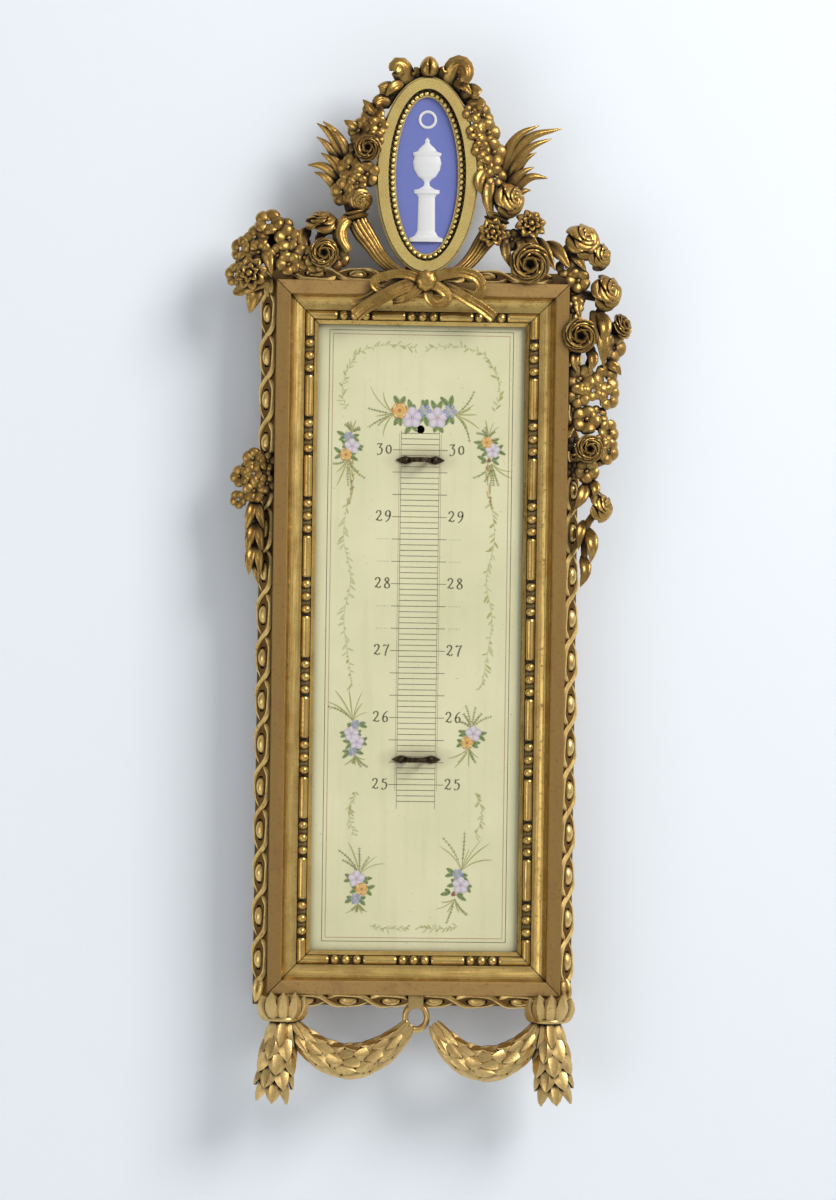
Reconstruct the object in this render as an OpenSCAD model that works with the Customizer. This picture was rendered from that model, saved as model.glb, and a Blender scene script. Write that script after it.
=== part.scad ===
// Giltwood wall barometer case: a mitred moulded frame round a painted scale plate, with carved flowers,
// a cameo medallion on top and laurel swags below. Millimetres. Z is up, the front faces -Y, and the
// origin is on the wall plane, behind the centre of the case.

/* [Case] */
// Width across the front mouldings
front_w = 118; // [100:0.5:150]
// Height across the front mouldings
front_h = 287; // [250:0.5:340]
// Depth of the box from the wall to the back of the front mouldings
case_d = 24; // [22:0.5:32]
// Thickness of the box walls at their front edge
wall_t = 12; // [10:0.5:13]
// How far the carved edge flares out behind the front arris
flare_w = 5.6; // [3:0.1:8]
// Depth of the carved flared edge
flare_d = 6.5; // [5:0.5:9]
// Thickness of the board that closes the back
back_t = 9; // [8:0.5:10]
// Width of the rebate that takes the back board
rebate_w = 4; // [3:0.5:5]
// Gap round a board that drops into the box
board_gap = 0.2; // [0.1:0.05:0.5]

/* [Front mouldings] */
// Height of the front mouldings above the box
rail_t = 9; // [7:0.5:12]
// Width of the outer flat
flat_w = 5.6; // [4:0.1:8]
// Width of the cove
cove_w = 6; // [4:0.1:9]
// Width of the bead-and-bar strip
strip_w = 4; // [3.4:0.1:5]
// Width of the sight edge
sight_w = 1.5; // [1:0.1:3]
// Height of the ground that the beads stand on
strip_h = 3.4; // [2.5:0.1:4.5]
// Open crack at each mitre
mitre_gap = 0.3; // [0.1:0.05:0.6]
// Beads in each group
beads = 3; // [1:1:4]
// Bead groups down each side
side_groups = 8; // [2:2:12]
// Distance from one group to the next down the sides
side_pitch = 32.4; // [28:0.1:36]
// Bead spacing down the sides
side_bead = 5.1; // [4.3:0.1:6]
// Bead groups along the top and bottom
cross_groups = 3; // [1:2:5]
// Distance from one group to the next along the top and bottom
cross_pitch = 27.4; // [22:0.1:32]
// Bead spacing along the top and bottom
cross_bead = 4.5; // [4:0.1:5.5]

/* [Carved edge] */
// Distance from one egg to the next
egg_pitch = 17.4; // [14:0.1:22]
// Length of an egg
egg_l = 9.4; // [6:0.1:11]
// Width of an egg
egg_w = 5.4; // [3.5:0.1:6]
// Width of the crossing ribbons
lace_w = 1.6; // [1:0.1:2.2]
// Height of the crossing ribbons
lace_h = 0.9; // [0.5:0.1:1.4]

/* [Scale plate] */
// Thickness of the painted plate
plate_t = 5; // [3:0.5:6]
// Radius of the tube that the clips hold
tube_r = 3.4; // [2.5:0.1:4]
// Radius of the hole at the head of the scale
head_hole_r = 1.7; // [1:0.1:2.5]
// Height of the head hole above the centre
head_hole_z = 84.5; // [78:0.5:100]
// Height of the upper tube clip
upper_clip_z = 72; // [60:0.5:77]
// Height of the lower tube clip
lower_clip_z = -49; // [-100:0.5:-30]
// Width of the clip strap
strap_w = 2; // [1.5:0.1:3]
// Thickness of the clip strap
strap_t = 0.6; // [0.4:0.05:1]
// Distance from the tube's axis to each clip pin
pin_x = 5.9; // [5.6:0.1:7]
// Radius of a clip pin
pin_r = 0.6; // [0.4:0.05:0.8]

/* [Medallion] */
// Half of the medallion's width
medal_a = 20.7; // [17:0.1:24]
// Half of the medallion's height
medal_b = 39.8; // [34:0.1:44]
// Width of the flat gilt ring
ring_w = 5; // [4:0.1:6]
// Width of the beaded slip
slip_w = 3; // [2.4:0.1:4]
// Thickness of the gilt ring
ring_t = 6; // [4.5:0.5:8]
// Thickness of the backing board
medal_back_t = 5; // [4:0.5:6]
// Thickness of the plaque
plaque_t = 2; // [1.5:0.1:2.5]
// Height of the medallion's lowest point above the case's front edge
medal_lift = 3.6; // [2.6:0.1:8]
// Width of the tenon that carries the medallion
tenon_w = 16; // [10:0.5:20]
// Radius of a small bead in the slip
slip_bead_r = 1.12; // [0.9:0.02:1.2]

/* [Hanger] */
// Radius of the hanging ring, to the middle of its wire
ring_r = 7; // [6:0.1:8]
// Radius of the hanging ring's wire
wire_r = 1; // [0.8:0.05:1.1]
// Height of the hanging ring's hinge line
hanger_z = 96; // [60:1:102]

/* [Garland] */
// Radius of the stems behind the flowers
stem_r = 1.3; // [0.9:0.1:1.6]
// Gap between a carved flower group and the case
seat_gap = 0.15; // [0.1:0.05:0.3]

/* [Hidden] */

e = 0.01;
gilt = "#B98F3C";
bole = "#8A5A35";
half_w = front_w / 2;
half_h = front_h / 2;
rail_w = flat_w + cove_w + strip_w + sight_w;
front_y = -(case_d + rail_t);
inner_w = half_w - wall_t;
inner_h = half_h - wall_t;
strip_mid = flat_w + cove_w + strip_w / 2;
bead_margin = 0.15;
bead_r = strip_w / 2 - bead_margin;
slope_l = sqrt(flare_w * flare_w + flare_d * flare_d);
slope_a = atan2(flare_w, flare_d);

// Frame members. A profile is drawn as [distance outwards from the front arris, y] and runs along Z at
// +X; the mitre planes cut it at 45 degrees, and a turn puts it on the side it belongs to.

// Keeps the part of a member between its two mitres, where len2 is half of the frame's side at the arris
module mitred(len2, reach_in, reach_out, gap) {
    cut = gap / sqrt(2);
    intersection() {
        children();
        rotate([90, 0, 0])
            translate([0, 0, -1])
            linear_extrude(case_d + rail_t + 2)
            polygon([[-reach_in, -(len2 - reach_in - cut)], [reach_out, -(len2 + reach_out - cut)],
                     [reach_out, len2 + reach_out - cut], [-reach_in, len2 - reach_in - cut]]);
    }
}

// Puts a member that was drawn for the right-hand side at side 0 right, 1 top, 2 left or 3 bottom
module on_side(side) {
    rotate([0, -90 * side, 0])
        translate([side % 2 == 0 ? half_w : half_h, 0, 0])
        children();
}

function half_length(side) = side % 2 == 0 ? half_h : half_w;

// Box walls with the carved, flared outer edge
module wall_profile() {
    polygon([[-wall_t, -case_d], [0, -case_d], [flare_w, flare_d - case_d], [flare_w, 0],
             [rebate_w - wall_t, 0], [rebate_w - wall_t, -back_t], [-wall_t, -back_t]]);
}

// Crossing ribbons: a lens round each egg, in one flat outline with the lenses as holes
function lace_y(s) = (slope_l / 2 - lace_w) * abs(sin(180 * s / egg_pitch));
module lace(count) {
    steps = 6;
    total = count * steps;
    upper = [for (i = [0 : total]) let (s = i * egg_pitch / steps) [s, lace_y(s) + lace_w / 2]];
    lower = [for (i = [total : -1 : 0]) let (s = i * egg_pitch / steps) [s, -lace_y(s) - lace_w / 2]];
    lens = [for (k = [0 : count - 1])
        [for (j = [0 : 2 * steps - 5])
            let (half = steps - 2,
                 i = j < half ? j + 1.5 : 2 * half - j + 0.5,
                 s = (k + i / steps) * egg_pitch,
                 dy = max(lace_y(s) - lace_w / 2, 0.1))
            [s, j < half ? dy : -dy]]];
    outer = concat(upper, lower);
    holes = [for (k = [0 : count - 1])
        [for (j = [0 : 2 * steps - 5]) len(outer) + k * (2 * steps - 4) + j]];
    points = concat(outer, [for (ring = lens) each ring]);
    polygon(points, concat([[for (i = [0 : len(outer) - 1]) i]], holes));
}

egg_sink = 0.9;
module egg() {
    turns = [for (a = [-90 : 22.5 : 90]) [max(egg_w / 2 * cos(a), 0), egg_l / 2 * sin(a)]];
    rotate_extrude($fn = 32)
        polygon(turns);
}

// Ribbons and eggs on the sloping face of one wall
module carving(len2) {
    count = floor((2 * len2 - 6) / egg_pitch);
    translate([flare_w / 2, flare_d / 2 - case_d, 0])
        rotate([0, 0, 90 - slope_a]) {
        rotate([0, -90, 90])
            translate([-count * egg_pitch / 2, 0, -lace_w / 2])
            linear_extrude(lace_h + lace_w / 2)
            lace(count);
        for (k = [0 : count - 1])
            translate([0, egg_sink, (k + 0.5 - count / 2) * egg_pitch])
                egg();
    }
}

module case_wall(side) {
    len2 = half_length(side);
    nails = side % 2 == 0 ? [-0.8, 0, 0.8] : [0];
    color(bole)
        on_side(side)
        difference() {
            union() {
                mitred(len2, wall_t + 1, flare_w + 1, 0)
                    translate([0, 0, -len2 - flare_w - 1])
                    linear_extrude(2 * (len2 + flare_w + 1))
                    wall_profile();
                carving(len2);
            }
            for (k = nails)
                translate([nail_t, -back_t - nail_l, k * len2])
                    rotate([-90, 0, 0])
                    cylinder(r = nail_r + nail_gap, h = nail_l + 1, $fn = 24);
            if (side % 2 == 0)
                for (k = brad_places)
                    translate([-wall_t - 1, brad_y, k * len2])
                        rotate([0, 90, 0])
                        cylinder(r = nail_r + nail_gap, h = brad_l / 2 + 1, $fn = 24);
            if (side == 1)
                tenon_mortise();
        }
}

// Nails through the back board, and brads that hold the scale plate from behind
nail_r = 0.6;
nail_gap = 0.05;
nail_l = 6;
nail_head_r = 1.3;
nail_t = rebate_w / 2 - wall_t;
brad_l = 8;
brad_places = [-0.75, -0.25, 0.25, 0.75];
brad_y = -case_d + plate_t + nail_r + nail_gap;
nail_spots = [for (sx = [-1, 1], k = [-0.8, 0, 0.8]) [sx * (half_w + nail_t), k * half_h],
              for (sz = [-1, 1]) [0, sz * (half_h + nail_t)]];

module back_nails() {
    color("#3D362E")
        for (p = nail_spots)
            translate([p[0], -e, p[1]])
                rotate([90, 0, 0]) {
                    cylinder(r = nail_r, h = back_t + nail_l - 0.5, $fn = 24);
                    cylinder(r1 = nail_head_r, r2 = nail_r, h = 0.9, $fn = 24);
                }
}

module plate_brads() {
    color("#3D362E")
        for (sx = [-1, 1], k = brad_places)
            translate([sx * (inner_w - brad_l / 2), brad_y, k * half_h])
                rotate([0, sx * 90, 0])
                cylinder(r = nail_r, h = brad_l - 0.5, $fn = 24);
}

// Back board, with a pocket for the hanging ring
pocket_w = 2 * (ring_r + wire_r) + 6;
pocket_h = 4 * ring_r + 2 * wire_r + 8;
pocket_d = 6;
hinge_y = -3.2;
module back_board() {
    w = 2 * (inner_w + rebate_w - board_gap);
    h = 2 * (inner_h + rebate_w - board_gap);
    color("#8C6B45")
        difference() {
            translate([-w / 2, -back_t, -h / 2])
                cube([w, back_t, h]);
            translate([-pocket_w / 2, -pocket_d, hanger_z - pocket_h / 2])
                cube([pocket_w, pocket_d + 1, pocket_h]);
            for (p = nail_spots)
                translate([p[0], 1, p[1]])
                    rotate([90, 0, 0]) {
                        cylinder(r = nail_r + nail_gap, h = back_t + 2, $fn = 24);
                        translate([0, 0, 1])
                            cylinder(r1 = nail_head_r + nail_gap, r2 = nail_r + nail_gap, h = 0.95, $fn = 24);
                    }
            for (sz = [-1, 1])
                translate([0, -pocket_d + 1, hanger_z + sz * screw_z])
                    rotate([90, 0, 0])
                    cylinder(r = screw_r + nail_gap, h = screw_l + 1, $fn = 24);
        }
}

// Brass plate with the eye that the ring turns in, and its two screws
hanger_t = 1.2;
hanger_w = 9;
eye_wire_r = 0.7;
eye_r = wire_r + 0.5 + eye_wire_r;
screw_z = 8;
screw_r = 1;
screw_l = 2.4;
module hanger_plate() {
    color("#B08D45")
        difference() {
            union() {
                translate([-hanger_w / 2, -pocket_d, hanger_z - screw_z])
                    cube([hanger_w, hanger_t, 2 * screw_z]);
                for (sz = [-1, 1])
                    translate([0, -pocket_d, hanger_z + sz * screw_z])
                        rotate([-90, 0, 0])
                        cylinder(r = hanger_w / 2, h = hanger_t, $fn = 48);
                translate([0, hinge_y, hanger_z])
                    rotate([0, -90, 0])
                    rotate_extrude(angle = 180, $fn = 48)
                    translate([eye_r, 0])
                    circle(r = eye_wire_r, $fn = 24);
                for (sz = [-1, 1])
                    translate([0, -pocket_d + 0.3, hanger_z + sz * eye_r])
                        rotate([-90, 0, 0])
                        cylinder(r = eye_wire_r, h = pocket_d + hinge_y - 0.3 + e, $fn = 24);
            }
            for (sz = [-1, 1])
                translate([0, -pocket_d - 1, hanger_z + sz * screw_z])
                    rotate([-90, 0, 0])
                    cylinder(r = screw_r + 0.15, h = hanger_t + 2, $fn = 24);
        }
}

module hanger_screws() {
    color("#B08D45")
        for (sz = [-1, 1])
            translate([0, -pocket_d + hanger_t, hanger_z + sz * screw_z])
                difference() {
                    rotate([90, 0, 0]) {
                        cylinder(r = screw_r, h = hanger_t + screw_l - 0.3, $fn = 24);
                        translate([0, 0, -0.5])
                            cylinder(r1 = 1.5, r2 = 2, h = 0.5, $fn = 32);
                    }
                    translate([-3, 0.25, -0.25])
                        cube([6, 1, 0.5]);
                }
}

module hanging_ring() {
    color("#C29A4C")
        translate([0, hinge_y, hanger_z - ring_r])
        rotate([90, 0, 0])
        rotate_extrude($fn = 72)
        translate([ring_r, 0])
        circle(r = wire_r, $fn = 24);
}

// Front mouldings: flat, cove, bead-and-bar strip and sight edge
module rail_profile() {
    cove_top = rail_t - 0.6;
    cove_end = flat_w + cove_w;
    cove = [for (a = [0 : 11.25 : 90])
        [-(cove_end - cove_w * cos(a)), -case_d - cove_top + (cove_top - strip_h) * sin(a)]];
    polygon(concat([[0, -case_d], [0, front_y + 0.3], [-0.3, front_y], [-flat_w + 0.4, front_y],
                    [-flat_w, front_y + 0.3]], cove,
                   [[-cove_end - bead_margin / 2, -case_d - strip_h + 0.8],
                    [-cove_end - strip_w + bead_margin / 2, -case_d - strip_h + 0.8],
                    [-cove_end - strip_w, -case_d - strip_h + 0.2],
                    [-rail_w, -case_d - strip_h + 1.4], [-rail_w, -case_d]]));
}

module bar(length) {
    r = bead_r - 0.1;
    rotate_extrude($fn = 32)
        polygon([[0, 0], [r - 0.7, 0], [r - 0.2, 0.3], [r, 0.9], [r, length - 0.9], [r - 0.2, length - 0.3],
                 [r - 0.7, length], [0, length]]);
}

module bead_and_bar(len2, groups, pitch, spacing) {
    group_l = beads * spacing;
    translate([-strip_mid, -case_d - strip_h + 0.2, 0]) {
        for (g = [0 : groups - 1], b = [0 : beads - 1])
            translate([0, 0, (g - (groups - 1) / 2) * pitch + (b - (beads - 1) / 2) * spacing])
                rotate([90, 0, 0])
                sphere(r = bead_r, $fn = 24);
        if (groups > 1)
            for (g = [0 : groups - 2])
                translate([0, 0, (g - (groups - 1) / 2) * pitch + group_l / 2 + 0.1])
                    bar(pitch - group_l - 0.2);
        for (end = [-1, 1])
            scale([1, 1, end])
                translate([0, 0, (groups - 1) / 2 * pitch + group_l / 2 + 0.1])
                bar(len2 - strip_mid + 6 - (groups - 1) / 2 * pitch - group_l / 2);
    }
}

module rail(side) {
    len2 = half_length(side);
    color(gilt)
        on_side(side)
        mitred(len2, rail_w + 1, 1, mitre_gap)
        union() {
            translate([0, 0, -len2])
                linear_extrude(2 * len2)
                rail_profile();
            if (side % 2 == 0)
                bead_and_bar(len2, side_groups, side_pitch, side_bead);
            else
                bead_and_bar(len2, cross_groups, cross_pitch, cross_bead);
        }
}

// Painted plate and the two clips for the tube
plate_face = -case_d;
tube_y = plate_face - tube_r;
module scale_plate() {
    w = 2 * (inner_w - board_gap);
    h = 2 * (inner_h - board_gap);
    color("#E2E0BC")
        difference() {
            translate([-w / 2, plate_face, -h / 2])
                cube([w, plate_t, h]);
            translate([0, plate_face - 1, head_hole_z])
                rotate([-90, 0, 0])
                cylinder(r = head_hole_r, h = plate_t + 2, $fn = 48);
            for (z = [upper_clip_z, lower_clip_z], sx = [-1, 1])
                translate([sx * pin_x, plate_face - 1, z])
                    rotate([-90, 0, 0])
                    cylinder(r = pin_r + nail_gap, h = pin_l + 1, $fn = 24);
        }
}

pin_l = 3.5;
foot_r = 1.9;
module tube_clip(z) {
    outer = tube_r + strap_t;
    color("#5C4A2A")
        translate([0, 0, z - strap_w / 2])
        difference() {
            union() {
                translate([0, tube_y, 0])
                    cylinder(r = outer, h = strap_w, $fn = 64);
                translate([-outer, tube_y, 0])
                    cube([2 * outer, tube_r - 0.02, strap_w]);
                for (sx = [-1, 1]) {
                    translate([sx * pin_x - foot_r, plate_face - 0.02 - strap_t, 0])
                        cube([2 * foot_r, strap_t, strap_w]);
                    translate([sx * pin_x, plate_face - 0.02, strap_w / 2])
                        rotate([90, 0, 0])
                        linear_extrude(strap_t)
                        polygon([[-sx * 2.2, -strap_w * 0.5], [sx * 0.2, -strap_w * 0.8],
                                 [sx * 1.8, -strap_w * 0.6], [sx * 4, 0], [sx * 1.8, strap_w * 0.6],
                                 [sx * 0.2, strap_w * 0.8], [-sx * 2.2, strap_w * 0.5]]);
                }
            }
            translate([0, tube_y, -1])
                cylinder(r = tube_r, h = strap_w + 2, $fn = 64);
            translate([-tube_r, tube_y, -1])
                cube([2 * tube_r, tube_r + 1, strap_w + 2]);
            for (sx = [-1, 1])
                translate([sx * pin_x, plate_face + 1, strap_w / 2])
                    rotate([90, 0, 0])
                    cylinder(r = pin_r + nail_gap, h = strap_t + 2, $fn = 24);
        }
}

module clip_pins() {
    head_y = plate_face - strap_t - 0.04;
    color("#6B5426")
        for (z = [upper_clip_z, lower_clip_z], sx = [-1, 1])
            translate([sx * pin_x, head_y, z]) {
                rotate([-90, 0, 0])
                    cylinder(r = pin_r, h = pin_l - 0.3, $fn = 24);
                intersection() {
                    translate([0, 0.6, 0])
                        sphere(r = 1.5, $fn = 32);
                    translate([-2, -2, -2])
                        cube([4, 2, 4]);
                }
            }
}

// Medallion
medal_x = 1;
medal_z = half_h + medal_lift + medal_b;
medal_y = -case_d;
module oval(a, b, y0, y1) {
    translate([medal_x, y1, medal_z])
        rotate([90, 0, 0])
        scale([1, b / a, 1])
        cylinder(r = a, h = y1 - y0, $fn = 96);
}

module medallion_frame() {
    color(gilt)
        difference() {
            union() {
                oval(medal_a, medal_b, medal_y - ring_t + 1, medal_y);
                oval(medal_a - 0.8, medal_b - 0.8, medal_y - ring_t, medal_y - 1);
            }
            oval(medal_a - ring_w, medal_b - ring_w, medal_y - ring_t - 1, medal_y + 1);
        }
}

module tenon_shape(gap) {
    drop = 10;
    translate([medal_x - tenon_w / 2 - gap, medal_y + 0.4 - gap, medal_z - medal_b - drop - gap])
        cube([tenon_w + 2 * gap, medal_back_t - 0.8 + 2 * gap, drop + 6]);
}

// The mortise in the frame of the top wall, which is drawn for the right-hand side
module tenon_mortise() {
    translate([-half_h, 0, 0])
        rotate([0, 90, 0]) {
            tenon_shape(0.1);
            translate([medal_x - tenon_w / 2 - 0.1, -case_d - 2, half_h + 0.1])
                cube([tenon_w + 0.2, 4, flare_w + 4]);
        }
}

module medallion_back() {
    color("#8C6B45")
        union() {
            oval(medal_a - 1.5, medal_b - 1.5, medal_y + e, medal_y + medal_back_t);
            tenon_shape(0);
        }
}

slip_a = medal_a - ring_w - 0.1;
slip_b = medal_b - ring_w - 0.1;
plaque_y = medal_y - plaque_t;
module medallion_plaque() {
    color("#6E7AB8")
        oval(slip_a, slip_b, plaque_y, medal_y - e);
}

// Steps evenly along an oval, as a list of angles
function oval_speed(a, b, t) = sqrt(pow(a * sin(t), 2) + pow(b * cos(t), 2)) * PI / 180;
function oval_walk(a, b, d, n, t = 0) = n == 0 ? [] :
    let (mid = t + d / oval_speed(a, b, t) / 2)
    concat([t], oval_walk(a, b, d, n - 1, t + d / oval_speed(a, b, mid)));
function oval_length(a, b) = PI * (3 * (a + b) - sqrt((3 * a + b) * (a + 3 * b)));

module medallion_beads() {
    a = slip_a - slip_w / 2;
    b = slip_b - slip_w / 2;
    count = floor(oval_length(a, b) / (2 * slip_bead_r + 0.06));
    color(gilt)
        union() {
            difference() {
                oval(slip_a, slip_b, plaque_y - 1.2, plaque_y - e);
                oval(slip_a - slip_w, slip_b - slip_w, plaque_y - 2, plaque_y + 1);
            }
            for (t = oval_walk(a, b, oval_length(a, b) / count, count))
                translate([medal_x + a * cos(t), plaque_y - 1.1, medal_z + b * sin(t)])
                    sphere(r = slip_bead_r, $fn = 24);
        }
}

// White relief: a lidded urn on a column, with a small wreath above it
module medallion_relief() {
    urn = [[0, 0], [7, 0], [7, 1.4], [5.4, 2], [4.6, 2.6], [4.2, 3.4], [3.6, 4.4], [3.4, 18], [4, 19],
           [5.2, 19.6], [5.2, 21], [3.2, 21.4], [1.3, 22.6], [1, 24], [1.6, 25], [3.6, 26.4], [5.2, 29],
           [5.8, 32], [5.2, 34.4], [5.8, 35.2], [5.8, 36], [4, 36.6], [3, 38], [1.4, 39.4], [0.8, 40.2],
           [1, 41], [0, 42.2]];
    color("#E9E8E4")
        intersection() {
            translate([medal_x, plaque_y - e, medal_z - slip_b + slip_w + 5])
                scale([1, 0.25, 1])
                rotate_extrude($fn = 64)
                polygon(urn);
            translate([medal_x - 20, plaque_y - 8, medal_z - 40])
                cube([40, 8 - e, 80]);
        }
    color("#E9E8E4")
        intersection() {
            translate([medal_x, plaque_y - e, medal_z + slip_b - slip_w - 9])
                rotate([90, 0, 0])
                rotate_extrude($fn = 48)
                translate([3.2, 0])
                circle(r = 0.6, $fn = 24);
            translate([medal_x - 20, plaque_y - 8, medal_z])
                cube([40, 8 - e, 40]);
        }
}

// Carved forms. Each is a closed surface of a few faces: rings of points joined into bands.

// Joins rings of n points, given as [ring][point], with a single point closing each end
module skin(rings, first, last) {
    n = len(rings[0]);
    points = concat([first], [for (r = rings) each r], [last]);
    end = len(points) - 1;
    faces = concat(
        [for (i = [0 : n - 1]) [1 + i, 1 + (i + 1) % n, 0]],
        [for (k = [0 : len(rings) - 2], i = [0 : n - 1])
            each [[1 + (k + 1) * n + i, 1 + k * n + (i + 1) % n, 1 + k * n + i],
                  [1 + (k + 1) * n + i, 1 + (k + 1) * n + (i + 1) % n, 1 + k * n + (i + 1) % n]]],
        [for (i = [0 : n - 1]) [end - n + (i + 1) % n, end - n + i, end]]);
    polyhedron(points, faces);
}

// One ring of petals round Z: two shoulders to a petal, and a notch between petals where fine is set
function petal_ring(r, z, petals, notch, fine, turn = 0) =
    [for (p = [0 : petals - 1])
        let (step = 360 / petals, a = p * step + turn)
        each concat([for (b = [-0.27, 0.27]) [r * cos(a + b * step), r * sin(a + b * step), z]],
                    fine ? [[r * (1 - notch) * cos(a + step / 2), r * (1 - notch) * sin(a + step / 2), z - r * 0.1]]
                         : [])];

// Small open blossom that faces +Z
module blossom(r, petals = 5) {
    fine = r > 4.9;
    skin([petal_ring(r, r * 0.1, petals, 0.34, fine), petal_ring(r * 0.7, r * 0.42, petals, 0.3, fine),
          petal_ring(r * 0.26, r * 0.12, petals, 0, fine)],
         [0, 0, -r * 0.75], [0, 0, r * 0.45]);
}

// Full rose that faces +Z
module rose(r) {
    skin([petal_ring(r * 0.92, -r * 0.2, 4, 0.06, true), petal_ring(r, r * 0.24, 4, 0.22, true, 20),
          petal_ring(r * 0.74, r * 0.52, 4, 0.16, true, 45), petal_ring(r * 0.56, r * 0.3, 4, 0, true, 60),
          petal_ring(r * 0.4, r * 0.62, 4, 0.2, true, 80)],
         [0, 0, -r * 0.8], [0, 0, r * 0.2]);
}

// Flower with pointed petals
module star(r, petals = 7) {
    function points(r, z, deep) = [for (i = [0 : 2 * petals - 1])
        let (a = 180 * i / petals, q = i % 2 == 0 ? r : r * (1 - deep)) [q * cos(a), q * sin(a), z]];
    skin([points(r * 0.4, -r * 0.35, 0), points(r, r * 0.2, 0.42), points(r * 0.34, r * 0.24, 0)],
         [0, 0, -r * 0.55], [0, 0, r * 0.6]);
}

// Blade that follows a path of [x, y, z] from point to point, w wide, t thick towards the viewer
function unit(v) = v / norm(v);
function blade_ring(p, along, w, t) =
    let (side = unit(cross([0, -1, 0], along)), up = unit(cross(along, side)))
    [p + side * w / 2, p + up * t, p - side * w / 2, p - up * t * 0.5];
module blade(path, w, t, taper = 0.45) {
    last = len(path) - 1;
    skin([for (i = [1 : last - 1])
        let (k = i / last, wide = w * (1 - pow(2 * k - 0.9, 2) * taper))
        blade_ring(path[i], path[i + 1] - path[i - 1], wide, t)],
        path[0], path[last]);
}

// Bowed path between two points, with its middle pushed aside by bow
function bowed(a, b, bow, steps = 4) =
    [for (i = [0 : steps]) let (k = i / steps) a + (b - a) * k + bow * 4 * k * (1 - k)];

// Leaf from a to b in front of the case, on a short stalk that runs on behind a
module leaf(a, b, w, bow = [0, -1.5, 0], t = 1.1) {
    blade(bowed(a, b, bow), w, t);
}

// Stem of short rods from point to point
module stem(points, r) {
    for (i = [0 : len(points) - 2])
        hull()
            for (p = [points[i], points[i + 1]])
                translate(p)
                    rotate([10, 17, 25])
                    sphere(r = r * 1.15, $fn = 5);
}

// A flower is [x, z, y, radius, pitch, yaw]: pitch tips its face upwards and yaw turns it to the right
module facing(f) {
    translate([f[0], f[2], f[1]])
        rotate([90 - f[4], 0, f[5]])
        children();
}
function root(f) = [f[0], f[2] + f[3] * 0.5, f[1]];
module blossoms(list) {
    for (f = list)
        facing(f)
            blossom(f[3]);
}
module roses(list) {
    for (f = list)
        facing(f)
            rose(f[3]);
}
module stars(list) {
    for (f = list)
        facing(f)
            star(f[3]);
}

// The carved groups are laid out round a case of this half width, depth and half height, and this moves
// them with its edges: to the sides by side, with the front and with the top
laid_out = [59, 24, 143.5];
module follow(side = 0) {
    translate([side * (half_w - laid_out[0]), laid_out[1] - case_d, half_h - laid_out[2]])
        children();
}

// Everything that the box and the front mouldings fill, grown by a gap
module case_space(g) {
    reach = flare_w + lace_h + g;
    back = flare_d - case_d - g;
    translate([-half_w - g, front_y - g, -half_h - g])
        cube([front_w + 2 * g, rail_t + case_d, front_h + 2 * g]);
    rotate([90, 0, 0])
        translate([0, 0, -1])
        linear_extrude(1 - back)
        square([front_w + 2 * reach, front_h + 2 * reach], center = true);
    hull()
        for (sx = [-1, 1], sz = [-1, 1]) {
            translate([sx * (half_w + g + lace_h), -case_d - g, sz * (half_h + g + lace_h)])
                cube(e, center = true);
            translate([sx * (half_w + reach), back, sz * (half_h + reach)])
                cube(e, center = true);
        }
}

// A carved group, moved with the case and cut away where the case stands
module seated(side = 0) {
    color(gilt)
        difference() {
            follow(side)
                children();
            case_space(seat_gap);
        }
}

// Horn with reeds that rises round the medallion from the ribbon knot to its collar
horn_path = [[-1, -36.2, 143.6], [-3.8, -35.8, 144.6], [-11.9, -32.6, 147.6], [-17.7, -29.4, 152.6],
             [-22.5, -27.6, 159.4], [-26.6, -27, 165.4], [-28.4, -27, 169.4]];
horn_radius = [1, 1.7, 2.4, 2.9, 3.4, 4.2, 3.7];
collar_at = horn_path[6] + [-0.4, 0, 1.4];
function horn_ring(i) =
    let (p = horn_path[i], along = unit(horn_path[min(i + 1, 6)] - horn_path[max(i - 1, 0)]),
         side = unit(cross(along, [0, 1, 0])), up = cross(along, side))
    [for (j = [0 : 11])
        let (a = j * 30, r = horn_radius[i] * (j % 2 == 0 ? 1 : 0.84))
        p + side * r * cos(a) + up * r * sin(a)];
module horn() {
    color(gilt)
        union() {
            skin([for (i = [0 : 6]) horn_ring(i)], horn_path[0], horn_path[6] + [0, 0, 0.5]);
            translate(collar_at)
                rotate([0, -14, 0])
                rotate_extrude($fn = 32)
                polygon([[0, -2], [4.2, -2], [5, -1.4], [4.4, -0.6], [4.9, 0.2], [4.3, 1], [0, 1]]);
        }
}

// The room that a horn takes up, for what is carved over it
module horn_space(side) {
    follow()
        translate([medal_x, 0, 0])
        scale([side, 1, 1]) {
            for (i = [0 : 5])
                hull()
                    for (k = [i, i + 1])
                        translate(horn_path[k])
                            sphere(r = horn_radius[k] + 0.3, $fn = 12);
            translate(collar_at - [0, 0, 2.3])
                cylinder(r = 5.4, h = 4.2, $fn = 16);
        }
}

module horn_left() {
    follow()
        translate([medal_x, 0, 0])
        horn();
}

module horn_right() {
    follow()
        translate([medal_x, 0, 0])
        mirror([1, 0, 0])
        horn();
}

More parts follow.
